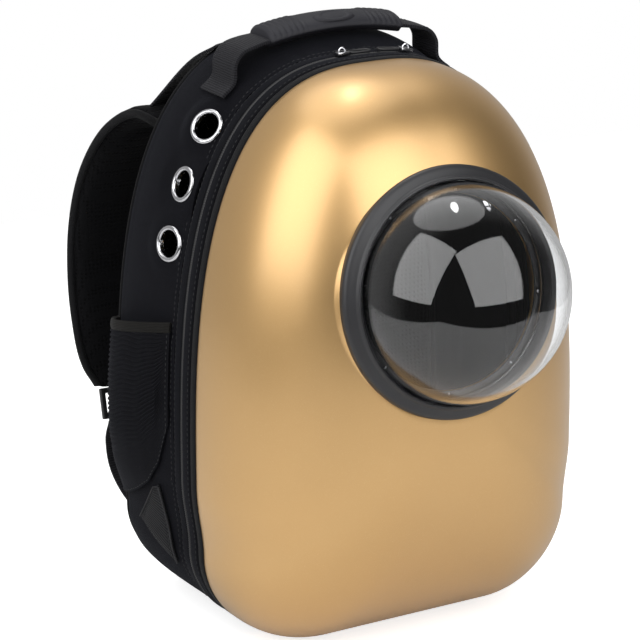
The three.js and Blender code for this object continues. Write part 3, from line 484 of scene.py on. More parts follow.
# %% Group: woven threads
def weave_group():
    """Over and under threads: Height for bump, Tone for colour. Threads are per metre."""
    group, source, result = new_group(
        "woven threads",
        [
            ("Vector", "NodeSocketVector", None),
            ("Across", "NodeSocketFloat", 1500.0),
            ("Along", "NodeSocketFloat", 1500.0),
        ],
        [("Height", "NodeSocketFloat"), ("Tone", "NodeSocketFloat")],
    )
    split = add_node(group, "ShaderNodeSeparateXYZ", {0: source.outputs["Vector"]})
    waves = []
    for axis, threads in enumerate(("Across", "Along")):
        turn = math_node(group, "MULTIPLY", split.outputs[axis], source.outputs[threads])
        waves.append(math_node(group, "SINE", math_node(group, "MULTIPLY", turn, math.pi)))
    product = math_node(group, "MULTIPLY", *waves)
    group.links.new(math_node(group, "ABSOLUTE", product), result.inputs["Height"])
    group.links.new(math_node(group, "MULTIPLY_ADD", product, 0.5, 0.5), result.inputs["Tone"])
    return group


# %% Group: ribs along one direction
def rib_group():
    """Round ribs across the second coordinate, made a little uneven."""
    group, source, result = new_group(
        "ribs",
        [
            ("Vector", "NodeSocketVector", None),
            ("Ribs", "NodeSocketFloat", 500.0),
            ("Unevenness", "NodeSocketFloat", 0.1),
        ],
        [("Height", "NodeSocketFloat")],
    )
    uneven = noise(group, source.outputs["Vector"], 90.0, 2.0)
    split = add_node(group, "ShaderNodeSeparateXYZ", {0: source.outputs["Vector"]})
    turn = math_node(group, "MULTIPLY", split.outputs[1], source.outputs["Ribs"])
    stray = math_node(group, "MULTIPLY", uneven, source.outputs["Unevenness"])
    whole = math_node(group, "MULTIPLY", math_node(group, "ADD", turn, stray), 2 * math.pi)
    wave = math_node(group, "SINE", whole)
    group.links.new(math_node(group, "MULTIPLY_ADD", wave, 0.5, 0.5), result.inputs["Height"])
    return group


# %% Group: slow change of tone, with lint
def tone_group():
    """Slow mottling and small specks of lint, each as a mask from 0 to 1."""
    group, source, result = new_group(
        "tone and lint",
        [
            ("Vector", "NodeSocketVector", None),
            ("Scale", "NodeSocketFloat", 14.0),
            ("Lint Scale", "NodeSocketFloat", 900.0),
        ],
        [("Tone", "NodeSocketFloat"), ("Lint", "NodeSocketFloat")],
    )
    vector = source.outputs["Vector"]
    slow = noise(group, vector, source.outputs["Scale"], 4.0, Roughness=0.6)
    fine = noise(group, vector, source.outputs["Lint Scale"], 1.0)
    lint = add_node(group, "ShaderNodeMapRange", {0: fine, 1: 0.66, 2: 0.8})
    group.links.new(slow, result.inputs["Tone"])
    group.links.new(lint.outputs[0], result.inputs["Lint"])
    return group


WEAVE = weave_group()
RIBS = rib_group()
TONE = tone_group()
print("Groups:", [group.name for group in (WEAVE, RIBS, TONE)])


# %% Material helpers
def new_material(name, **settings):
    """Principled material; settings are its plain socket values."""
    material = bpy.data.materials.new(name)
    material.use_nodes = True
    shader = material.node_tree.nodes["Principled BSDF"]
    for socket, value in settings.items():
        shader.inputs[socket.replace("_", " ")].default_value = value
    return material, material.node_tree, shader


def coordinates(tree, kind="Object"):
    return add_node(tree, "ShaderNodeTexCoord").outputs[kind]


def use_group(tree, group, vector, **values):
    inputs = {"Vector": vector}
    inputs.update({name.replace("_", " "): value for name, value in values.items()})
    return add_node(tree, "ShaderNodeGroup", inputs, node_tree=group).outputs


def mix_colours(tree, factor, a, b):
    """Mix of two colours, each a tuple or another node's output."""
    a, b = (colour if isinstance(colour, bpy.types.NodeSocket) else (*colour, 1) for colour in (a, b))
    return add_node(tree, "ShaderNodeMix", {0: factor, 6: a, 7: b}, data_type="RGBA").outputs[2]


def spread(tree, value, low, high):
    """Maps a mask from 0..1 to low..high."""
    return add_node(tree, "ShaderNodeMapRange", {0: value, 3: low, 4: high}).outputs[0]


def bump(tree, height, depth, strength, under=None):
    """Normal of a bump of a depth in millimetres, on top of another bump's normal if given."""
    inputs = {"Height": height, "Distance": depth * MM, "Strength": strength}
    if under is not None:
        inputs["Normal"] = under
    return add_node(tree, "ShaderNodeBump", inputs).outputs[0]


def shades(tone, low, high):
    """A darker and a lighter shade of a tone."""
    return tuple(low * value for value in tone), tuple(high * value for value in tone)


def with_lint(tree, slow, colour, amount):
    """The colour with a few pale specks of lint."""
    return mix_colours(tree, spread(tree, slow["Lint"], 0.0, amount), colour, (0.1, 0.1, 0.11))


def feed(tree, shader, colour, roughness, normal=None):
    """Links what a finish has made to its shader."""
    tree.links.new(colour, shader.inputs["Base Color"])
    tree.links.new(roughness, shader.inputs["Roughness"])
    if normal is not None:
        tree.links.new(normal, shader.inputs["Normal"])


# %% [markdown]
# ### Gold lacquer
# The shell is moulded plastic with a champagne gold metallic lacquer. Its flakes scatter the
# light, so highlights are wide and soft. A thin clear coat adds a faint sharper gloss on top.

# %% Gold lacquer
def gold_lacquer():
    material, tree, shader = new_material(
        "gold_lacquer", Metallic=0.9, Coat_Weight=0.5, Coat_Roughness=0.24, Coat_IOR=1.5,
    )
    vector = coordinates(tree)
    slow = use_group(tree, TONE, vector, Scale=9.0, Lint_Scale=2600.0)
    base = mix_colours(tree, slow["Tone"], (0.585, 0.36, 0.148), (0.64, 0.405, 0.172))
    flakes = mix_colours(tree, spread(tree, slow["Lint"], 0, 0.35), base, (0.95, 0.78, 0.5))
    peel = bump(tree, noise(tree, vector, 420.0, 1.0), 0.012, 0.6)
    feed(tree, shader, flakes, spread(tree, slow["Tone"], 0.34, 0.40), peel)
    return material


# %% Black plastics
def black_plastic(name, tone, roughness):
    """Satin moulded plastic with a fine spark-eroded grain."""
    material, tree, shader = new_material(name, Specular_IOR_Level=0.5)
    vector = coordinates(tree)
    slow = use_group(tree, TONE, vector, Scale=25.0, Lint_Scale=1500.0)
    colour = mix_colours(tree, slow["Tone"], *shades(tone, 0.8, 1.25))
    grain = bump(tree, noise(tree, vector, 1400.0, 2.0), 0.03, 0.5)
    feed(tree, shader, colour, spread(tree, slow["Tone"], roughness - 0.05, roughness + 0.06), grain)
    return material


# %% Clear acrylic
def clear_acrylic():
    """Clear blown acrylic with a few faint hairlines in its gloss."""
    material, tree, shader = new_material(
        "clear_acrylic", Metallic=0.0, Transmission_Weight=1.0, IOR=1.49,
    )
    slow = use_group(tree, TONE, coordinates(tree), Scale=18.0, Lint_Scale=700.0)
    colour = mix_colours(tree, slow["Tone"], (0.93, 0.94, 0.95), (0.97, 0.97, 0.97))
    feed(tree, shader, colour, spread(tree, slow["Lint"], 0.004, 0.03))
    return material


# %% Cloths
def cloth(name, tone, across, along, depth, roughness=0.85):
    """Woven cloth: threads as bump, a slow change of tone and a few specks of lint."""
    material, tree, shader = new_material(
        name, Specular_IOR_Level=0.07, Sheen_Weight=0.03, Sheen_Roughness=0.5,
        Sheen_Tint=(0.75, 0.8, 1.0, 1.0),
    )
    threads = use_group(tree, WEAVE, coordinates(tree, "UV"), Across=across, Along=along)
    slow = use_group(tree, TONE, coordinates(tree), Scale=16.0, Lint_Scale=500.0)
    woven = mix_colours(tree, threads["Tone"], *shades(tone, 0.7, 1.5))
    aged = mix_colours(tree, spread(tree, slow["Tone"], 0.0, 0.5), woven, tone)
    creases = bump(tree, noise(tree, coordinates(tree), 45.0, 3.0), 0.6, 0.5)
    normal = bump(tree, threads["Height"], depth, 1.0, creases)
    rough = spread(tree, slow["Tone"], roughness - 0.08, roughness + 0.08)
    feed(tree, shader, with_lint(tree, slow, aged, 0.05), rough, normal)
    return material


def spacer_mesh(name, tone, pitch):
    """Spacer mesh: a padded knitted cloth with rows of small round holes, each painted darker as painted
    shade inside the hole.
    """
    material, tree, shader = new_material(
        name, Specular_IOR_Level=0.07, Sheen_Weight=0.02, Sheen_Roughness=0.6,
    )
    cells = add_node(tree, "ShaderNodeTexVoronoi", {
        "Vector": coordinates(tree), "Scale": 1 / (pitch * MM), "Randomness": 0.15,
    })
    holes = add_node(tree, "ShaderNodeMapRange", {0: cells.outputs["Distance"], 1: 0.18, 2: 0.42}).outputs[0]
    slow = use_group(tree, TONE, coordinates(tree), Scale=20.0, Lint_Scale=600.0)
    # Each hole is painted darker than the cloth around it: painted shade inside the hole.
    knit_with_painted_hole_shade = mix_colours(tree, holes, *shades(tone, 0.3, 1))
    normal = bump(tree, holes, 0.45, 0.9)
    feed(tree, shader, with_lint(tree, slow, knit_with_painted_hole_shade, 0.05), spread(tree, slow["Tone"], 0.8, 0.95), normal)
    return material


def webbing(name, tone, ribs):
    """Woven webbing: close ribs across its length, each with a fine thread grain, painted darker in the
    grooves and lighter on the crowns as painted shade and painted highlight.
    """
    material, tree, shader = new_material(
        name, Specular_IOR_Level=0.14, Sheen_Weight=0.05, Sheen_Roughness=0.4,
    )
    vector = coordinates(tree, "UV")
    rows = use_group(tree, RIBS, vector, Ribs=ribs, Unevenness=0.15)
    threads = use_group(tree, WEAVE, vector, Across=1100.0, Along=2200.0)
    slow = use_group(tree, TONE, coordinates(tree), Scale=22.0, Lint_Scale=700.0)
    # The rib grooves are painted darker and the rib crowns lighter: painted shade and painted highlight.
    ribs_with_painted_groove_shade = mix_colours(tree, rows["Height"], *shades(tone, 0.55, 1.5))
    fine = bump(tree, threads["Height"], 0.08, 0.7)
    normal = bump(tree, rows["Height"], 0.3, 0.9, fine)
    feed(tree, shader, with_lint(tree, slow, ribs_with_painted_groove_shade, 0.06), spread(tree, slow["Tone"], 0.68, 0.84), normal)
    return material


# %% Rubber, chrome and thread
def grip_rubber():
    material, tree, shader = new_material("grip_rubber", Specular_IOR_Level=0.25)
    vector = coordinates(tree)
    slow = use_group(tree, TONE, vector, Scale=30.0, Lint_Scale=900.0)
    colour = mix_colours(tree, slow["Tone"], (0.012, 0.012, 0.0155), (0.021, 0.021, 0.026))
    grain = bump(tree, noise(tree, vector, 1100.0, 2.0), 0.06, 0.6)
    feed(tree, shader, colour, spread(tree, slow["Tone"], 0.52, 0.66), grain)
    return material


def chrome(name, low, high):
    material, tree, shader = new_material(name, Metallic=1.0)
    slow = use_group(tree, TONE, coordinates(tree), Scale=60.0, Lint_Scale=1200.0)
    feed(tree, shader, mix_colours(tree, slow["Tone"], low, high), spread(tree, slow["Tone"], 0.12, 0.24))
    return material


def thread():
    material, tree, shader = new_material("thread", Specular_IOR_Level=0.2, Sheen_Weight=0.05)
    slow = use_group(tree, TONE, coordinates(tree), Scale=400.0, Lint_Scale=1200.0)
    colour = mix_colours(tree, slow["Tone"], (0.012, 0.0125, 0.014), (0.022, 0.0225, 0.025))
    feed(tree, shader, colour, spread(tree, slow["Tone"], 0.6, 0.8))
    return material


GOLD = gold_lacquer()
SATIN_BLACK = black_plastic("satin_black", (0.014, 0.014, 0.016), 0.42)
MOULDED_BLACK = black_plastic("moulded_black", (0.010, 0.010, 0.011), 0.45)
COIL_BLACK = black_plastic("coil_black", (0.008, 0.008, 0.009), 0.4)
ACRYLIC = clear_acrylic()
NYLON = cloth("nylon_cloth", (0.0028, 0.0028, 0.004), 1400.0, 1400.0, 0.12)
TAPE = cloth("zipper_tape_cloth", (0.0026, 0.0026, 0.0036), 2400.0, 1200.0, 0.1, roughness=0.82)
BINDING = webbing("binding_tape", (0.0038, 0.0038, 0.0046), 1300.0)
STRAP_MESH = spacer_mesh("strap_mesh", (0.0028, 0.0028, 0.0034), 3.2)
PANEL_MESH = spacer_mesh("panel_mesh", (0.0045, 0.0045, 0.0052), 4.0)
POCKET_CLOTH = cloth("pocket_cloth", (0.0036, 0.0036, 0.0046), 1100.0, 1800.0, 0.1)
WEBBING = webbing("strap_webbing", (0.013, 0.013, 0.0155), 620.0)
ELASTIC = webbing("hem_elastic", (0.0065, 0.006, 0.0052), 900.0)
TAB_WEBBING = webbing("tab_webbing", (0.008, 0.0082, 0.0095), 560.0)
TAB_PIPING = webbing("tab_piping", (0.03, 0.03, 0.032), 900.0)
RUBBER = grip_rubber()
CHROME = chrome("chrome", (0.5, 0.5, 0.52), (0.62, 0.62, 0.64))
SCREW_STEEL = chrome("screw_steel", (0.2, 0.2, 0.21), (0.3, 0.3, 0.31))
THREAD = thread()
print("Materials:", len(bpy.data.materials))


# %% Dressing a piece
def dress(piece, material, slot, *nodes):
    """Gives a piece its finish, its body and the solids that it stands for."""
    piece.data.materials.clear()
    piece.data.materials.append(material)
    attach(piece, BODY)
    if nodes:
        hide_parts(*nodes)
    print(piece.name, len(piece.data.polygons), "faces, finish", material.name)
    return piece


# %% [markdown]
# ## The shell
# A skin moulded in one piece: a full bulge whose crown is low on the bag, with a flat seat for the
# window. The grid runs round the rim one way and from the rim to the window the other way, and its
# rows lie closer together near the seat, where the bulge turns faster.

# %% Shell
SEAT_FROM = 0.9
OPEN_SHARE = 0.65
OPEN_REACH = 0.84


def shell_place(u, v):
    """u runs round the rim, v from the rim over the bulge and the seat to the window's edge."""
    place = place_at(u)
    rim = band_point(place, 0, 0)
    angle = math.atan2(rim.z - WINDOW_HEIGHT, rim.x)
    seat = seat_point(SEAT_RADIUS, angle)
    if v > SEAT_FROM:
        return seat_point(mix(SEAT_RADIUS, WINDOW_RADIUS, (v - SEAT_FROM) / 0.1), angle)
    if v == 0:
        return rim
    rise = seat.z - SHELL_FRONT_HEIGHT
    reach = float(np.interp(math.atan2(rise, abs(seat.x)), REACH_ANGLES, REACH))
    share = math.hypot(seat.x, rise) / reach
    last_turn = math.acos(share ** (SHELL_EXPONENT / 2))
    run = v / SEAT_FROM
    if run < OPEN_SHARE:
        run = run / OPEN_SHARE * OPEN_REACH
    else:
        run = mix(OPEN_REACH, 1, (run - OPEN_SHARE) / 0.35)
    scale = math.cos(last_turn * run) ** (2 / SHELL_EXPONENT)
    inward = (1 - scale) / (1 - share)
    return shell_point(mix(rim.x, seat.x, inward), mix(rim.z, seat.z, inward))


shell = lay_grid("gold_shell", 288, 84, shell_place, (1200, 200), wraps=True)
thicken(shell, SHELL_WALL, edge=0.5)
dress(shell, GOLD, "gold_shell", "front_shell")

# %% [markdown]
# ## The window
# A black ring with one sloped face and a small inner lip clamps the flange of the clear dome. Inside
# the dome a thin liner holds the edge with small screws. All are spun about one axis, square to the
# seat.

# %% Window axis and ring
WINDOW_OUT = (0, -math.cos(SEAT_TILT), math.sin(SEAT_TILT))
WINDOW_PLACE = turned_to((0, RIM_Y - SEAT_DEPTH, WINDOW_HEIGHT), WINDOW_OUT)
RING_INNER = DOME_RADIUS + 2 * GAP
RING_PROFILE = [
    (RING_INNER + 6.5, GAP), (RING_RADIUS - 0.8, GAP), (RING_RADIUS, 1.2),
    (RING_RADIUS - 0.1, 5.6), (RING_RADIUS - 0.7, 7.0), (RING_RADIUS - 1.9, 8.1),
    (RING_RADIUS - 3.6, 9.0), (RING_RADIUS - 6.9, 10.6), (RING_RADIUS - 7.5, 11.0),
    (RING_RADIUS - 7.9, 12.3), (RING_RADIUS - 8.5, 13.1), (RING_RADIUS - 9.3, 13.4),
    (RING_INNER + 0.9, 13.2), (RING_INNER, 12.4), (RING_INNER, 3.1), (RING_INNER + 6.5, 3.1),
]
ring = spin_profile("clamp_ring", RING_PROFILE, 144, WINDOW_PLACE, angle=50)
dress(ring, SATIN_BLACK, "black_plastic", "window_ring")


# %% Dome
def dome_profile(steps=30):
    outer, inner = [], []
    for i in range(steps + 1):
        turn = math.pi / 2 * (1 - i / steps)
        outer.append((DOME_RADIUS * math.cos(turn), DOME_NECK + DOME_RADIUS * math.sin(turn)))
        wall = DOME_RADIUS - DOME_WALL
        inner.append((wall * math.cos(turn), DOME_NECK + wall * math.sin(turn)))
    foot = [
        (DOME_RADIUS, GAP + DOME_WALL), (DOME_RADIUS + 6.2, GAP + DOME_WALL),
        (DOME_RADIUS + 6.2, GAP), (DOME_RADIUS - DOME_WALL, GAP),
    ]
    return outer + foot + inner[::-1]


dome = spin_profile("clear_dome", dome_profile(), 144, WINDOW_PLACE, angle=50)
dress(dome, ACRYLIC, "clear_plastic", "bubble_dome")

# %% Dark gasket under the dome's flange
GASKET_PROFILE = [
    (WINDOW_RADIUS + 0.3, 0.05), (RING_INNER + 6, 0.05),
    (RING_INNER + 6, 0.25), (WINDOW_RADIUS + 0.3, 0.25),
]
dress(spin_profile("dome_gasket", GASKET_PROFILE, 120, WINDOW_PLACE), RUBBER, "black_plastic")

# %% Liner and its screws
LINER_PROFILE = [
    (WINDOW_RADIUS, GAP), (LINER_RADIUS - GAP, GAP), (LINER_RADIUS - GAP, 1.7),
    (LINER_RADIUS - 0.6, 1.8), (WINDOW_RADIUS + 0.4, 1.8), (WINDOW_RADIUS, 1.5),
]
liner = spin_profile("liner_ring", LINER_PROFILE, 120, WINDOW_PLACE)
dress(liner, SATIN_BLACK, "black_plastic", "window_liner")
SCREW_PROFILE = [(0, 0), (1.4, 0), (1.35, 0.5), (0.95, 0.95), (0.4, 1.1), (0.35, 0.8), (0, 0.8)]
for i in range(8):
    angle = math.radians(-8) + 2 * math.pi * i / 8
    radius = (WINDOW_RADIUS + LINER_RADIUS - GAP) / 2
    local = Matrix.Translation(Vector((radius * math.cos(angle), radius * math.sin(angle), 2.1)) * MM)
    screw = spin_profile(f"dome_screw_{i + 1}", SCREW_PROFILE, 18, WINDOW_PLACE @ local)
    dress(screw, SCREW_STEEL, "chrome", f"liner_screw_{i + 1}")

# %% [markdown]
# ## The bands behind the shell
# Behind the rim runs a folded binding, then the zipper's tape in two rolled halves with the coil
# between them. Each is a strip laid round the outline, with its own section.


# %% Strips round the bag
STRIP_WALL = 1.4


def strip_round(name, section, material, slot, node):
    """Strip with a section of (depth, out) points, laid round the whole outline."""
    depths = [depth for depth, _ in section]
    outs = [out for _, out in section]
    last = len(section) - 1

    def at(u, v):
        row = v * last
        i = min(last - 1, int(row))
        place = place_at(u)
        out = mix(outs[i], outs[i + 1], row - i)
        lifted = out * place[4] if out > 0 else out
        return band_point(place, mix(depths[i], depths[i + 1], row - i), lifted)

    piece = lay_grid(name, 300, last, at, (2 * HALF_LENGTH, depths[-1] - depths[0]), wraps=True)
    thicken(piece, STRIP_WALL)
    dress(piece, material, slot, node)


def arc_section(start, end, low, high, steps=10):
    """Rounded section between two depths, from low at its edges to high in its middle."""
    rows = []
    for i in range(steps + 1):
        turn = math.pi * i / steps
        rows.append((mix(start, end, (1 - math.cos(turn)) / 2), low + (high - low) * math.sin(turn) ** 0.7))
    return rows


fold = arc_section(GAP, GAP + BINDING_WIDTH, -1.6, 1.2)
strip_round("rim_binding", fold, BINDING, "black_cloth", "edge_binding")
GROOVE = TAPE_START + TAPE_WIDTH / 2
front_half = arc_section(TAPE_START, GROOVE - 0.6, -1.0, 1.1, 12)
back_half = arc_section(GROOVE + 0.6, TAPE_START + TAPE_WIDTH, -1.0, 1.1, 12)
strip_round("zipper_tape", front_half + back_half, TAPE, "webbing", "zipper_tape")


# %% Zipper coil in the groove, from one foot of the bag over the arch to the other
COIL_START = share_on_side(1, 14)
COIL_TURNS = 560


def coil_place(u, v):
    place = place_at(mix(COIL_START, 1 - COIL_START, v))
    turn = 2 * math.pi * u
    ridge = 0.75 + 0.25 * math.sin(2 * math.pi * COIL_TURNS * v)
    return band_point(place, GROOVE + 1.5 * ridge * math.cos(turn), 0.35 + 0.75 * ridge * math.sin(turn))


coil = lay_grid("zipper_coil", 6, COIL_TURNS * 4, coil_place, (8, 1100), wraps=True)
smooth(coil, 60)
dress(coil, COIL_BLACK, "black_plastic", "zipper_chain")


# %% Stitches along the bands
def line_round(depth, out, count=700):
    line = []
    for i in range(count + 1):
        place = place_at(i / count)
        line.append((band_point(place, depth, out * place[4]), Vector((place[2], 0, place[3]))))
    return line


for name, depth in (("front", TAPE_START + 2.2), ("back", TAPE_START + TAPE_WIDTH - 2.2)):
    dress(sew(f"tape_stitches_{name}", line_round(depth, 0.9)), THREAD, "webbing")

# %% [markdown]
# ## The cloth gusset
# The gusset is a stuffed cloth wall. It crowns between its seams, rolls over the back edge and is
# pulled into short puckers along the zipper. Six vents are cut through it.

# %% Gusset
rng = np.random.default_rng(7)
PUCKER_PHASES = rng.uniform(0, 2 * math.pi, 5)
PUCKER_COUNTS = (61, 83, 104, 37, 19)
CLOTH_WALL = 2


def pucker(u, along):
    """Small waves that fade away from the zipper's seam, in millimetres."""
    fade = math.exp(-along / 0.16)
    waves = sum(math.sin(2 * math.pi * n * u + phase) for n, phase in zip(PUCKER_COUNTS, PUCKER_PHASES))
    sag = math.sin(2 * math.pi * 7 * u + PUCKER_PHASES[1]) * math.sin(math.pi * along)
    return 0.22 * fade * waves + 0.5 * sag


VENT_DEPTH = 52
VENT_HEIGHTS = (0.886, 0.793, 0.693)
VENT_TURNS = (13, -8, 2)
vents = []
for side, side_name in SIDES:
    for i, (height, turn) in enumerate(zip(VENT_HEIGHTS, VENT_TURNS)):
        place = place_at(share_on_side(side, height * BAG_HEIGHT))
        axis = Matrix.Rotation(math.radians(-side * turn), 3, "Z") @ cloth_normal(place, VENT_DEPTH)
        vents.append((f"{side_name}_{i + 1}", on_cloth(place, VENT_DEPTH, 0), axis))


def settle_at_vents(point):
    """Cloth lies flat against each eyelet's flange and eases away from it."""
    for _, centre, axis in vents:
        apart = point - centre
        if apart.length < 30:
            point = point - axis * apart.dot(axis) * (1 - smoothstep((apart.length - 14) / 15))
    return point


CLOTH_SHARE = 0.72


def gusset_place(u, v):
    place = place_at(u)
    edge = BODY_DEPTH - BACK_EDGE
    if v < CLOTH_SHARE:
        along = v / CLOTH_SHARE
        depth = mix(CLOTH_START, edge, along)
        return settle_at_vents(on_cloth(place, depth, pucker(u, along) * place[4]))
    turn = math.pi / 2 * (v - CLOTH_SHARE) / 0.28
    shoulder = cloth_out(edge, place[4])
    return band_point(place, edge + BACK_EDGE * math.sin(turn), shoulder - BACK_EDGE * (1 - math.cos(turn)))


gusset = lay_grid("cloth_gusset", 320, 44, gusset_place, (2 * HALF_LENGTH, 115), wraps=True)
thicken(gusset, CLOTH_WALL)

# %% Vents cut through the gusset
cutters = []
for name, centre, axis in vents:
    pick()
    bpy.ops.mesh.primitive_cylinder_add(vertices=40, radius=10.8 * MM, depth=30 * MM)
    cutters.append(bpy.context.object)
    cutters[-1].data.transform(turned_to(centre, axis))
pick(*cutters)
bpy.ops.object.join()
cutter = bpy.context.object
apply_modifier(gusset, "BOOLEAN", object=cutter, operation="DIFFERENCE", solver="EXACT")
bpy.data.objects.remove(cutter)
smooth(gusset, 50)
dress(gusset, NYLON, "black_cloth", "gusset")

# %% Chrome eyelets
EYELET_PROFILE = [
    (9.6, -3.2), (10.1, -3.2), (10.1, 0.1), (13.0, 0.2), (13.3, 0.6), (13.0, 1.2),
    (12.3, 1.7), (11.5, 1.9), (10.8, 1.8), (10.2, 1.4), (9.8, 0.7), (9.6, -0.4),
]
for name, centre, axis in vents:
    eyelet = spin_profile(f"eyelet_{name}", EYELET_PROFILE, 56, turned_to(centre, axis), angle=60)
    dress(eyelet, CHROME, "chrome", f"vent_grommet_{name}")

# %% Seam and stitches along the gusset's edges
SEAM_DEPTH = CLOTH_START + 3.4
seam_line = []
for i in range(901):
    place = place_at(i / 900)
    lift = pucker(i / 900, 0.05) * place[4]
    seam_line.append((on_cloth(place, SEAM_DEPTH, lift + 0.1), cloth_normal(place, SEAM_DEPTH)))
dress(sew("gusset_stitches", seam_line), THREAD, "black_cloth")


# %% Piping where the gusset meets the back
def piping_place(u, v):
    place = place_at(v)
    turn = 2 * math.pi * u
    depth = BODY_DEPTH - 7
    out = cloth_out(depth, place[4])
    normal = cloth_normal(place, depth)
    beside = normal.cross(Vector((place[3], 0, -place[2])))
    centre = band_point(place, depth, out) + normal * 0.6
    return centre + (normal * math.sin(turn) + beside * math.cos(turn)) * 1.7


def ring_tube(name, place, around, along, size):
    """Closed tube: u runs round its section and v along its closed path."""
    piece = lay_grid(name, around, along, lambda u, v: place(meet(u), meet(v)), size)
    smooth(piece, 60)
    return piece


dress(ring_tube("back_piping", piping_place, 10, 360, (11, 1240)), BINDING, "black_cloth")

# %% [markdown]
# ## Zipper sliders
# Two sliders meet near the top. Each is a small plated body with a bridge over its middle and a
# loop pull that lies along the coil towards the other slider.

# %% Sliders and pulls
COIL_TOP = GAP + 1.2


def slider_body(name, across):
    """Body that narrows to one end, bevelled all round, with a bridge on top."""
    place = place_at(share_on_arch(across))
    out = Vector((place[2], 0, place[3]))
    along = Vector((place[3], 0, -place[2]))
    pick()
    bpy.ops.mesh.primitive_cube_add(size=1)
    body = bpy.context.object
    body.name = name
    for vertex in body.data.vertices:
        width = 8.5 if vertex.co.x < 0 else 6.5
        vertex.co = Vector((vertex.co.x * 10, vertex.co.y * width, vertex.co.z * 2.6)) * MM
    bpy.ops.object.mode_set(mode="EDIT")
    bpy.ops.mesh.select_all(action="SELECT")
    bpy.ops.mesh.bevel(offset=0.6 * MM, segments=3, affect="EDGES")
    bpy.ops.object.mode_set(mode="OBJECT")
    radii = {"major_radius": 2.6 * MM, "minor_radius": 0.6 * MM}
    bpy.ops.mesh.primitive_torus_add(major_segments=20, minor_segments=8, **radii)
    bridge = bpy.context.object
    bridge.data.transform(Matrix.Translation((0, 0, 1.2 * MM)) @ Matrix.Rotation(math.pi / 2, 4, "X"))
    pick(bridge, body)
    bpy.ops.object.join()
    body.data.transform(frame_place(band_point(place, GROOVE, COIL_TOP + 1.6), along, out))
    smooth(body)
    return body


def pull_loop(name, across, towards):
    """Long flat loop of wire beside the slider."""
    place = place_at(share_on_arch(across + towards * 14.3))
    out = Vector((place[2], 0, place[3]))
    along = Vector((place[3], 0, -place[2]))

    def at(u, v):
        turn, round_wire = 2 * math.pi * v, 2 * math.pi * u
        end = 5 if math.cos(turn) > 0 else -5
        path = Vector((end + 3.1 * math.cos(turn), 3.1 * math.sin(turn), 0))
        outward = Vector((math.cos(turn), math.sin(turn), 0))
        return path + outward * 0.9 * math.cos(round_wire) + Vector((0, 0, 0.8 * math.sin(round_wire)))

    pull = ring_tube(name, at, 8, 48, (5, 44))
    pull.data.transform(frame_place(band_point(place, GROOVE, COIL_TOP + 1.4), along, out))
    return pull


for side_name, across, towards in (("left", -12, 1), ("right", 40, -1)):
    dress(slider_body(f"slider_{side_name}", across), CHROME, "chrome", f"zipper_slider_{side_name}")
    pull = pull_loop(f"pull_{side_name}", across, towards)
    dress(pull, MOULDED_BLACK, "black_plastic", f"slider_pull_{side_name}")

# %% [markdown]
# ## Side pockets
# Each pocket is a stretch cloth gathered into fine level ribs below an elastic hem. It is fullest
# in its middle and comes to a point low on the side, where a webbing tab is sewn over it.

# %% Pocket shape
POCKET_FULLNESS = 12
POCKET_TOP_FRONT = 229
POCKET_TOP_BACK = 212
POCKET_FRONT = 39
POCKET_BACK = BODY_DEPTH - 9
POCKET_ACROSS = (0, 0.14, 0.3, 0.5, 0.7, 0.88, 1)
POCKET_BOTTOM = (0.7, 0.56, 0.49, 0.45, 0.42, 0.4, 0.39)
POCKET_FULL = (0, 0.3, 0.62, 0.92, 1, 0.72, 0)
POCKET_UP = (0, 0.15, 0.4, 0.7, 1)
POCKET_RISE = (0, 0.55, 1, 1, 0.8)


def soft_table(value, keys, values):
    """Value between the rows of a table, with its corners rounded."""
    near = np.linspace(value - 0.07, value + 0.07, 9)
    return float(np.mean(np.interp(np.clip(near, 0, 1), keys, values)))


def pocket_point(side, across, up, above=0.0, lift=0.0):
    top = mix(POCKET_TOP_FRONT, POCKET_TOP_BACK, across)
    bottom = top * float(np.interp(across, POCKET_ACROSS, POCKET_BOTTOM))
    height = mix(bottom, top, up) + above
    depth = mix(POCKET_FRONT, POCKET_BACK, across)
    seam = min(1, across / 0.05, (1 - across) / 0.05)
    full = POCKET_FULLNESS * soft_table(across, POCKET_ACROSS, POCKET_FULL)
    full *= soft_table(up, POCKET_UP, POCKET_RISE)
    return on_cloth(place_at(share_on_side(side, height)), depth, 1 + full * smoothstep(seam) + lift)


def rib_lift(across, up):
    """Level gathers, deepest under the hem and fading towards the pocket's foot."""
    gather = math.sin(2 * math.pi * (34 * up + 0.35 * math.sin(9 * across) + 0.2 * math.sin(23 * across)))
    seams = smoothstep(across / 0.12) * smoothstep((1 - across) / 0.12)
    return 0.55 * gather * smoothstep((up - 0.12) / 0.4) * seams


for side, side_name in SIDES:
    pocket = lay_grid(
        f"pocket_{side_name}", 44, 272,
        lambda u, v: pocket_point(side, u, v, 0, 1.5 + rib_lift(u, v)), (80, 120),
    )
    thicken(pocket, 1.3)
    dress(pocket, POCKET_CLOTH, "mesh_cloth", f"side_pocket_{side_name}")
    hem = lay_grid(
        f"pocket_hem_{side_name}", 60, 10,
        lambda u, v: pocket_point(side, u, 1, GAP + 8 * v, 1.3 + 0.9 * math.sin(math.pi * v) ** 0.6),
        (80, 8),
    )
    thicken(hem, 2.2, edge=0.3)
    dress(hem, ELASTIC, "webbing", f"pocket_elastic_{side_name}")
    seam = [(0.025, 1 - i / 60) for i in range(61)] + [(mix(0.025, 0.975, i / 60), 0.015) for i in range(61)]
    line = [(pocket_point(side, across, up, 0, 1.7), Vector((side, 0, 0))) for across, up in seam]
    dress(sew(f"pocket_stitches_{side_name}", line), THREAD, "mesh_cloth")


# %% [markdown]
# ## Corner tabs
# A slanted triangle of ribbed webbing covers each lower corner, with its borders turned under and
# sewn.

# %% Corner tabs
TAB_FOOT = ((42, 50), (84, 74))
TAB_TIP = ((52, 110), (58, 107))


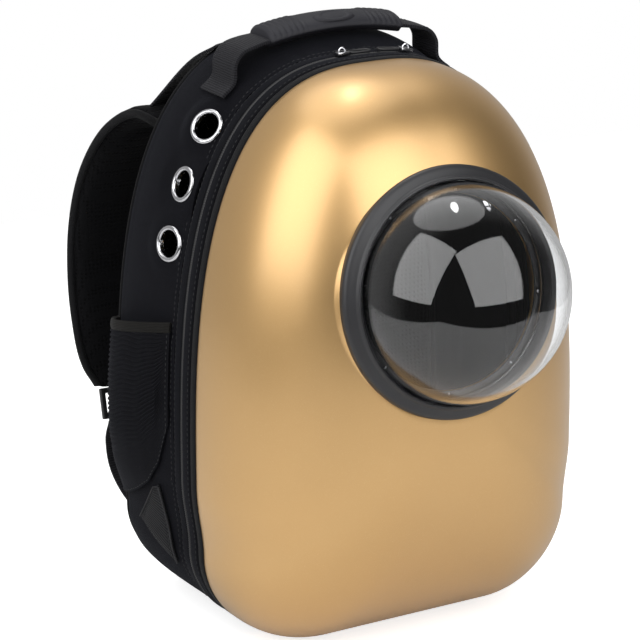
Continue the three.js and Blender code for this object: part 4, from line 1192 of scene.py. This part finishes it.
def tab_place(side, u, v, lift):
    """The tab's corners are given as depth behind the rim and height."""
    foot, tip = ([mix(a, b, u) for a, b in zip(*ends)] for ends in (TAB_FOOT, TAB_TIP))
    depth, height = (mix(low, high, v) for low, high in zip(foot, tip))
    return on_cloth(place_at(share_on_side(side, height)), depth, lift)


def tab_lift(u, v):
    """The tab is a little thinner towards its borders."""
    return 2.3 + 0.6 * smoothstep(min(1, 6 * min(u, 1 - u, 1.4 * v, 1.4 - 1.4 * v)))


for side, side_name in SIDES:
    tab = lay_grid(f"tab_{side_name}", 30, 40, lambda u, v: tab_place(side, u, v, tab_lift(u, v)), (24, 38))
    thicken(tab, 1.7, edge=0.3)
    dress(tab, TAB_WEBBING, "webbing", f"corner_tab_{side_name}")
    border = [(0.07, mix(0.96, 0.04, i / 30)) for i in range(31)]
    border += [(mix(0.07, 0.93, i / 20), 0.04) for i in range(21)]
    border += [(0.93, mix(0.04, 0.96, i / 30)) for i in range(31)]
    line = [(tab_place(side, u, v, 3.0), Vector((side, 0, 0))) for u, v in border]
    dress(sew(f"tab_stitches_{side_name}", line, 3.2), THREAD, "webbing")

    def piping_at(u, v):
        """Light cord round the tab's two sides, from its foot over its tip."""
        edge, rise = (0, 2 * v) if v < 0.5 else (1, 2 - 2 * v)
        turn = 2 * math.pi * u
        normal = Vector((side, 0, 0))
        return tab_place(side, edge, rise, 2.6 + 0.9 * math.sin(turn)) + Vector((0, 0.9 * math.cos(turn), 0))

    cord = lay_grid(f"tab_piping_{side_name}", 8, 80, piping_at, (6, 120), wraps=True)
    smooth(cord, 60)
    dress(cord, TAB_PIPING, "webbing")

# %% [markdown]
# ## Straps and webbing
# A strap is a path with a direction along it, across its width and out of its face. The path is
# a curve through a short table of points, and the sections follow it.

# %% Curves through points
def knots(a, b, c, d, power):
    """Spacing of four points for the curve, by distance to a power."""
    return [max(1e-4, (q - p).length ** power) for p, q in ((a, b), (b, c), (c, d))]


def curve_point(points, share, power=0.5):
    """Point of the smooth curve through points; share runs evenly over its spans."""
    spans = len(points) - 1
    whole = min(spans - 1, int(share * spans))
    t = share * spans - whole
    b, c = points[whole], points[whole + 1]
    a = points[whole - 1] if whole > 0 else b * 2 - c
    d = points[whole + 2] if whole + 2 <= spans else c * 2 - b
    da, db, dc = knots(a, b, c, d, power)
    start = ((b - a) / da - (c - a) / (da + db) + (c - b) / db) * db
    end = ((c - b) / db - (d - b) / (db + dc) + (d - c) / dc) * db
    square = c * 3 - b * 3 - start * 2 - end
    cube = b * 2 - c * 2 + start + end
    return b + start * t + square * t ** 2 + cube * t ** 3


def strap_frame(points, share):
    """Point, direction, across and face of a strap at a share of its path."""
    low, high = max(0, share - 0.004), min(1, share + 0.004)
    along = (curve_point(points, high) - curve_point(points, low)).normalized()
    across = (Vector((1, 0, 0)) - along * along.x).normalized()
    return curve_point(points, share), along, across, across.cross(along).normalized()


def strap_point(side, across, back, height):
    return Vector((side * across * BAG_WIDTH / 2, RIM_Y + BACK_FACE + 0.8 + back * 70, height * BAG_HEIGHT))


# Each row: across and back of the path, its height, and the width as shares.
STRAP_ROWS = (
    (0.5, 0, 0.845, 0.78), (0.515, 0.16, 0.853, 0.88), (0.57, 0.4, 0.852, 1), (0.65, 0.67, 0.815, 1),
    (0.725, 0.9, 0.74, 1), (0.775, 1, 0.643, 1), (0.8, 0.97, 0.536, 1), (0.815, 0.81, 0.434, 0.98),
    (0.82, 0.71, 0.375, 0.86), (0.822, 0.65, 0.338, 0.52),
)
WEB_ROWS = (
    (0.822, 0.68, 0.235), (0.81, 0.64, 0.18), (0.78, 0.42, 0.135), (0.75, 0.16, 0.118), (0.75, 0, 0.116),
)
STRAP_WIDTH = 66
STRAP_THICKNESS = 12
STRAP_SHARES = np.linspace(0, 1, len(STRAP_ROWS))


def strap_path(side):
    return [strap_point(side, *row[:3]) for row in STRAP_ROWS]


def strap_half_width(share):
    return STRAP_WIDTH * soft_table(share, STRAP_SHARES, [row[3] for row in STRAP_ROWS]) / 2


def strap_place(side, u, v):
    """Point on a strap's skin: u runs round its section and v down its path."""
    point, along, across, face = strap_frame(strap_path(side), v)
    width = strap_half_width(v)
    turn = 2 * math.pi * u
    cos, sin = math.cos(turn), math.sin(turn)
    end = math.sqrt(max(0, 1 - (1 - min(1, min(v, 1 - v) / 0.012)) ** 2))
    crown = abs(cos) ** 5
    half = STRAP_THICKNESS / 2 * end * (1 - 0.45 * crown)
    reach = math.copysign(abs(cos) ** 0.45, cos)
    thick = math.copysign(abs(sin) ** 0.7, sin)
    return point + across * (width * (0.25 + 0.75 * end) * reach) + face * half * thick


# %% Swelling a pad with a short cloth simulation
PAD_VOXEL = 5
PUFF_FRAMES = 20


def puff(piece, cap, pressure=4.0):
    """Remeshes a closed pad, fills it with air for some frames and keeps each point within cap
    millimetres of where it was. The pad then takes one subdivision."""
    apply_modifier(piece, "REMESH", mode="VOXEL", voxel_size=PAD_VOXEL * MM)
    before = [vertex.co.copy() for vertex in piece.data.vertices]
    pick(piece)
    modifier = piece.modifiers.new("air", "CLOTH")
    modifier.settings.quality = 4
    modifier.settings.use_pressure = True
    modifier.settings.uniform_pressure_force = pressure
    modifier.settings.effector_weights.gravity = 0
    modifier.settings.shrink_min = -0.02
    for step in range(1, PUFF_FRAMES + 1):
        bpy.context.scene.frame_set(step)
    bpy.ops.object.modifier_apply(modifier=modifier.name)
    bpy.context.scene.frame_set(1)
    moves = [vertex.co - old for vertex, old in zip(piece.data.vertices, before)]
    middle = sum(moves, Vector()) / len(moves)
    for vertex, old, moved in zip(piece.data.vertices, before, moves):
        moved = moved - middle
        if moved.length > cap * MM:
            moved *= cap * MM / moved.length
        vertex.co = old + moved
    apply_modifier(piece, "SUBSURF", levels=1, render_levels=1)
    smooth(piece, 80)


# %% Shoulder straps
for side, side_name in SIDES:
    strap = lay_grid(
        f"strap_{side_name}", 48, 150, lambda u, v: strap_place(side, u, v), (156, 330), wraps=True,
    )
    puff(strap, 1.5)
    dress(strap, STRAP_MESH, "mesh_cloth", f"shoulder_strap_{side_name}")

    def binding_place(u, v):
        """Folded binding round the strap's edge, along one side, the foot and the other side."""
        turn = 2 * math.pi * u
        edge = 1 if v < 0.5 else -1
        down = mix(0.015, 0.985, 2 * v if v < 0.5 else 2 - 2 * v)
        point, along, across, face = strap_frame(strap_path(side), down)
        centre = point + across * edge * (strap_half_width(down) - 2.2)
        return centre + across * edge * 2.9 * math.cos(turn) + face * 3.6 * math.sin(turn)

    binding = lay_grid(f"strap_binding_{side_name}", 14, 240, binding_place, (21, 660), wraps=True)
    pick(binding)
    bpy.ops.object.mode_set(mode="EDIT")
    bpy.ops.mesh.select_all(action="DESELECT")
    bpy.ops.mesh.select_non_manifold()
    bpy.ops.mesh.fill()
    bpy.ops.object.mode_set(mode="OBJECT")
    smooth(binding, 60)
    dress(binding, BINDING, "mesh_cloth")


# %% Ribbons
def ribbon(name, frames, width, wall, rows=120, columns=8):
    """Flat webbing over frames(v), which gives its middle, across and face."""
    length = sum((frames(i / 40)[0] - frames((i + 1) / 40)[0]).length for i in range(40))

    def at(u, v):
        middle, across, face = frames(v)
        side = 2 * (u - 0.5)
        return middle + across * side * width / 2 + face * (0.5 * wall - 0.12 * abs(side) ** 6)

    piece = lay_grid(name, columns, rows, at, (width, length))
    thicken(piece, wall, edge=0.25)
    return piece


# %% Load lifters from the top edge to the straps
LIFTER_START = 56
LIFTER_DEPTH = BODY_DEPTH - BACK_EDGE / 2
for side, side_name in SIDES:
    place = place_at(share_on_arch(side * LIFTER_START))
    start = on_cloth(place, LIFTER_DEPTH, GAP + 1.8)
    start_face = cloth_normal(place, LIFTER_DEPTH)
    sewn = []
    for share in (3 / 15, 4 / 15):
        point, along, across, face = strap_frame(strap_path(side), share)
        turn = 1 if face.z > 0 else -1
        sewn.append((point + face * turn * 7.4 + across * side * 13, face * turn))
    path = [start, sewn[0][0], sewn[1][0]]

    def lifter_frame(v):
        share = 0.5 * v
        low, high = max(0, share - 0.01), share + 0.01
        along = (curve_point(path, high, 1.0) - curve_point(path, low, 1.0)).normalized()
        face = start_face.lerp(sewn[0][1], v)
        face = (face - along * face.dot(along)).normalized()
        slack = Vector((-4 * side, 0, 15)) * math.sin(math.pi * v ** 1.3)
        return curve_point(path, share, 1.0) + slack, along.cross(face), face

    lifter = ribbon(f"lifter_{side_name}", lifter_frame, 22, 1.8, 60)
    dress(lifter, WEBBING, "webbing", f"load_lifter_{side_name}")


# %% Ladder lock buckles and the lower webbing
def buckle(name, centre, across, along):
    """Flat ladder lock: a plate with two slots between three bars, bevelled all round."""
    pick()
    bpy.ops.mesh.primitive_grid_add(x_subdivisions=3, y_subdivisions=5, size=1)
    plate = bpy.context.object
    plate.name = name
    xs, ys = (-17, -13, 13, 17), (-12, -8, -2, 2, 8, 12)
    for vertex in plate.data.vertices:
        column = round((vertex.co.x + 0.5) * 3)
        row = round((vertex.co.y + 0.5) * 5)
        vertex.co = Vector((xs[column], ys[row], 0)) * MM
    bpy.ops.object.mode_set(mode="EDIT")
    bpy.ops.mesh.select_all(action="DESELECT")
    bpy.ops.object.mode_set(mode="OBJECT")
    for face in plate.data.polygons:
        face.select = abs(face.center.x) < 13 * MM and 2 * MM < abs(face.center.y) < 8 * MM
    bpy.ops.object.mode_set(mode="EDIT")
    bpy.ops.mesh.delete(type="FACE")
    bpy.ops.object.mode_set(mode="OBJECT")
    apply_modifier(plate, "SOLIDIFY", thickness=4 * MM, offset=0)
    apply_modifier(plate, "BEVEL", width=0.9 * MM, segments=3, limit_method="ANGLE")
    plate.data.transform(frame_place(centre, across, across.cross(along)))
    smooth(plate)
    return plate


for side, side_name in SIDES:
    point, along, across, face = strap_frame(strap_path(side), 1)
    centre = point + along * 12.3
    lock = buckle(f"ladder_lock_{side_name}", centre, across, along)
    dress(lock, MOULDED_BLACK, "black_plastic", f"strap_buckle_{side_name}")
    web_points = [centre + along * 13.2] + [strap_point(side, *row) for row in WEB_ROWS]

    def web_frame(v):
        middle, _, across, face = strap_frame(web_points, v)
        return middle, across, face

    web = ribbon(f"webbing_{side_name}", web_frame, 24, 1.8, 140)
    dress(web, WEBBING, "webbing", f"strap_webbing_{side_name}")

# %% [markdown]
# ## Padded back
# The back is one foam pad under spacer mesh, closed against the gusset's rolled edge. It is
# modelled slim and then swollen a little, as stuffed cloth swells between its seams.

# %% Back panel
PANEL_FRONT = BODY_DEPTH + 4 - 14
PANEL_ROWS = ((5, 0), (1.6, 2.6), (0.8, 6), (0.8, 9), (2.0, 12.4), (5.5, 14.2), (12, 15.6), (30, 17))


def panel_place(u, v):
    """v runs from the middle of the inner face round the edge to the middle of the outer face."""
    place = place_at(u)
    shoulder = CLOTH_CROWN * place[4] * 0.78 - BACK_EDGE - 2 - GAP
    if v < 0.2 or v > 0.8:
        share = 1 - v / 0.2 if v < 0.2 else (v - 0.8) / 0.2
        inset, depth = PANEL_ROWS[0] if v < 0.2 else PANEL_ROWS[-1]
        point = band_point(place, PANEL_FRONT + depth, shoulder - inset)
        swell = 0.6 * share if v > 0.8 else 0
        return Vector((mix(point.x, 0, share), point.y + swell, mix(point.z, BAG_HEIGHT / 2, share)))
    row = (v - 0.2) / 0.6 * (len(PANEL_ROWS) - 1)
    i = min(len(PANEL_ROWS) - 2, int(row))
    inset = mix(PANEL_ROWS[i][0], PANEL_ROWS[i + 1][0], row - i)
    depth = mix(PANEL_ROWS[i][1], PANEL_ROWS[i + 1][1], row - i)
    return band_point(place, PANEL_FRONT + depth, shoulder - inset)


panel = lay_grid("back_pad", 160, 40, panel_place, (1100, 300), wraps=True)
puff(panel, 2.5, pressure=3.0)
dress(panel, PANEL_MESH, "mesh_cloth", "back_panel")


# %% Piping over the seam between the back pad and the gusset
def panel_piping_place(u, v):
    place = place_at(v)
    turn = 2 * math.pi * u
    out = cloth_out(BODY_DEPTH - BACK_EDGE, place[4]) - BACK_EDGE - 1.6
    return band_point(place, BODY_DEPTH + 0.2 + 3.2 * math.sin(turn), out + 3.2 * math.cos(turn))


dress(ring_tube("panel_piping", panel_piping_place, 12, 360, (20, 1100)), BINDING, "mesh_cloth")

# %% [markdown]
# ## Handle
# A moulded rubber sleeve sits over two webs that come up from the gusset. Its ends are ribbed for
# the fingers, and its front slope carries a plain oval pad.

# %% Grip
HANDLE_DEPTH = 65
GRIP_LENGTH = 112
GRIP_WIDTH = 36
GRIP_THICKNESS = 12
GRIP_DROP = 6
GRIP_FOOT = BAG_HEIGHT + cloth_out(HANDLE_DEPTH, 1) + 6.2


def grip_point(x, turn):
    """Point on the grip's rounded top; turn runs from its front edge over to its back edge."""
    foot = GRIP_FOOT - GRIP_DROP * (x / (GRIP_LENGTH / 2)) ** 2
    edge = GRIP_THICKNESS * 0.3
    y = RIM_Y + HANDLE_DEPTH - GRIP_WIDTH / 2 * math.cos(turn)
    return Vector((x, y, foot + edge + (GRIP_THICKNESS - edge) * math.sin(turn)))


def grip_rib(x, turn):
    """Finger ribs near both ends of the grip, on its top and slopes."""
    near_end = smoothstep((abs(x) - 24) / 5) * smoothstep((54.5 - abs(x)) / 3)
    return 0.9 * near_end * (0.5 - 0.5 * math.cos(2 * math.pi * x / 4.6)) * math.sin(turn) ** 0.4


def grip_place(u, v):
    """u runs round the section and v along the grip, closed at both ends."""
    end = min(v, 1 - v)
    close = 1 if end > 0.03 else math.sqrt(max(0, 1 - (1 - end / 0.03) ** 2))
    x = mix(-GRIP_LENGTH / 2, GRIP_LENGTH / 2, v)
    if u < 0.72:
        turn = math.pi * u / 0.72
        point = grip_point(x, turn) + Vector((0, 0, grip_rib(x, turn)))
    else:
        share = (u - 0.72) / 0.28
        half = GRIP_WIDTH / 2 - 2.4 * smoothstep(min(share, 1 - share) / 0.12)
        y = mix(half, -half, share) + RIM_Y + HANDLE_DEPTH
        point = Vector((x, y, grip_point(x, 0).z - 4.8 * smoothstep(min(share, 1 - share) / 0.12)))
    middle = Vector((x, RIM_Y + HANDLE_DEPTH, grip_point(x, 0).z + 2.5))
    return middle + (point - middle) * (0.0 if end == 0 else mix(0.55, 1, close))


grip = lay_grid("grip", 72, 260, grip_place, (90, GRIP_LENGTH), wraps=True)
smooth(grip, 60)
dress(grip, RUBBER, "grip_rubber", "handle_grip")

# %% Oval pad on the grip
PAD_ANGLE = math.radians(56)
PAD_LENGTH = 34
PAD_WIDTH = 17


def oval_place(u, v):
    """u runs round the oval and v from its rim, over a raised lip, to the middle."""
    lift = float(np.interp(v, (0, 0.1, 0.22, 0.34, 0.42, 1), (0.15, 1.1, 1.35, 1.2, 0.75, 0.8)))
    scale = 1 - v
    angle = 2 * math.pi * u
    per_radian = (grip_point(0, PAD_ANGLE + 0.05) - grip_point(0, PAD_ANGLE)).length / 0.05
    x = PAD_LENGTH / 2 * scale * math.cos(angle)
    turn = PAD_ANGLE + PAD_WIDTH / 2 * scale * math.sin(angle) / per_radian
    ahead = grip_point(x, turn + 0.01) - grip_point(x, turn - 0.01)
    return grip_point(x, turn) + Vector((0, -ahead.z, ahead.y)).normalized() * lift


oval = lay_grid("grip_oval", 72, 30, oval_place, (80, 9), wraps=True)
thicken(oval, 0.5)
dress(oval, RUBBER, "grip_rubber", "handle_medallion")

# %% Handle webs
WEB_PATH = ((0, 1), (0.4, 0.93), (0.78, 0.78), (0.95, 0.5), (1, 0))
HANDLE_WEB = 34


def web_middle(side, v):
    """Middle line of a handle web, from the grip's end to its foot on the cloth."""
    feet = [place_at(share_on_arch(side * (80 + reach))) for reach in (0, 9)]
    landing, toe = (on_cloth(place, HANDLE_DEPTH, 1.9) for place in feet)
    end_x, end_z = GRIP_LENGTH / 2 - 4, GRIP_FOOT - GRIP_DROP + GRIP_THICKNESS * 0.35
    points = []
    for reach, rise in WEB_PATH:
        points.append(Vector((side * mix(end_x, abs(landing.x), reach), 0, mix(landing.z, end_z, rise))))
    points.append(Vector((toe.x, 0, toe.z)))
    return curve_point(points, v)


def web_place(side, u, v):
    low, high = web_middle(side, max(0, v - 0.01)), web_middle(side, min(1, v + 0.01))
    along = (high - low).normalized()
    out = Vector((-along.z, 0, along.x)) * side
    middle = web_middle(side, v)
    share = u - 0.5
    crown = 1.0 * math.cos(math.pi * share) * (1 - v)
    width = HANDLE_WEB * mix(0.86, 1.0, smoothstep(v / 0.3))
    return Vector((middle.x, RIM_Y + HANDLE_DEPTH + width * share, middle.z)) + out * (1.3 + crown)


for side, side_name in SIDES:
    web = lay_grid(f"handle_strap_{side_name}", 24, 70, lambda u, v: web_place(side, u, v), (HANDLE_WEB, 60))
    thicken(web, 2.6, edge=0.4)
    dress(web, WEBBING, "webbing", f"handle_web_{side_name}")
    for row, edge in enumerate((0.1, 0.9)):
        line = []
        for i in range(41):
            v = mix(0.1, 0.97, i / 40)
            near = web_place(side, edge, min(1, v + 0.01)) - web_place(side, edge, v - 0.01)
            line.append((web_place(side, edge, v), Vector((-near.z, 0, near.x)).normalized() * side))
        dress(sew(f"handle_stitches_{side_name}_{row + 1}", line, 3.6), THREAD, "webbing")

# %% The stitch that was copied is no longer needed
bpy.data.objects.remove(STITCH)

# %% [markdown]
# ## Studio
# A white table stands before a pale wall. Two tall softboxes stand left and right of the camera
# and a round one with a long bulb hangs overhead, as their reflections in the dome show.


# %% Softboxes
def softbox(name, azimuth, elevation, distance, size, radiance, shape="RECTANGLE"):
    """Area light that faces the bag. Azimuth is from the front towards the left, in degrees."""
    target = Vector((0, -0.1, 0.22))
    a, e = math.radians(azimuth), math.radians(elevation)
    away = Vector((-math.sin(a) * math.cos(e), -math.cos(a) * math.cos(e), math.sin(e)))
    pick()
    bpy.ops.object.light_add(type="AREA", location=target + away * distance)
    light = bpy.context.object
    light.name = name
    light.data.shape = shape
    light.data.size, light.data.size_y = size
    light.data.energy = radiance * math.pi * size[0] * size[1] * (1 if shape == "RECTANGLE" else math.pi / 4)
    light.rotation_mode = "QUATERNION"
    light.rotation_quaternion = away.to_track_quat("Z", "Y")


softbox("left_softbox", 80, 36, 1.7, (1.5, 2.0), 2.8)
softbox("right_softbox", -8, 35, 1.7, (1.75, 1.95), 2.8)
softbox("top_softbox", -170, 71.5, 1.54, (1.42, 1.42), 1.35, "ELLIPSE")
softbox("top_bulb", -154, 68.3, 1.53, (0.13, 0.42), 10, "ELLIPSE")


# %% What the camera sees directly or through the clear dome
def seen_directly(tree):
    path = add_node(tree, "ShaderNodeLightPath")
    bounces = math_node(tree, "ADD", path.outputs["Diffuse Depth"], path.outputs["Glossy Depth"])
    first = math_node(tree, "LESS_THAN", bounces, 0.5)
    through = math_node(tree, "MULTIPLY", path.outputs["Is Transmission Ray"], first)
    return math_node(tree, "MAXIMUM", path.outputs["Is Camera Ray"], through)


# %% Surround: a pale wall behind the bag, a dark room in front, white to the camera
world = bpy.data.worlds.new("studio")
bpy.context.scene.world = world
world.use_nodes = True
tree = world.node_tree
surround = tree.nodes["Background"]
surround.inputs[0].default_value = (1, 1, 1, 1)
direction = add_node(tree, "ShaderNodeSeparateXYZ", {0: coordinates(tree, "Generated")})
wall = add_node(tree, "ShaderNodeMapRange", {0: direction.outputs[1], 1: -0.05, 2: 0.5, 3: 0.09, 4: 0.45})
tree.links.new(spread(tree, seen_directly(tree), wall.outputs[0], 1.0), surround.inputs[1])

# %% Floor
pick()
bpy.ops.mesh.primitive_plane_add(size=2.1, location=(0, 0, -0.0006))
floor = bpy.context.object
floor.name = "floor"
floor_material, floor_tree, floor_shader = new_material(
    "white_floor", Roughness=0.75, Emission_Strength=0.72,
)
floor_tone = use_group(floor_tree, TONE, coordinates(floor_tree), Scale=1.5, Lint_Scale=50.0)
tone = mix_colours(floor_tree, floor_tone["Tone"], (0.72, 0.72, 0.72), (0.76, 0.76, 0.76))
floor_tree.links.new(tone, floor_shader.inputs["Base Color"])
glow = mix_colours(floor_tree, seen_directly(floor_tree), (0.0, 0.0, 0.0), (1.0, 1.0, 1.0))
floor_tree.links.new(glow, floor_shader.inputs["Emission Color"])
floor.data.materials.append(floor_material)
floor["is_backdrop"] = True
bpy.context.scene.view_settings.view_transform = "Standard"

# %% Size of the dressed model beside the solids
dressed_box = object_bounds()
for low_high, cad, dressed in zip(("lowest", "highest"), cad_box, dressed_box):
    print(low_high, *([round(value / MM, 1) for value in box] for box in (cad, dressed)))
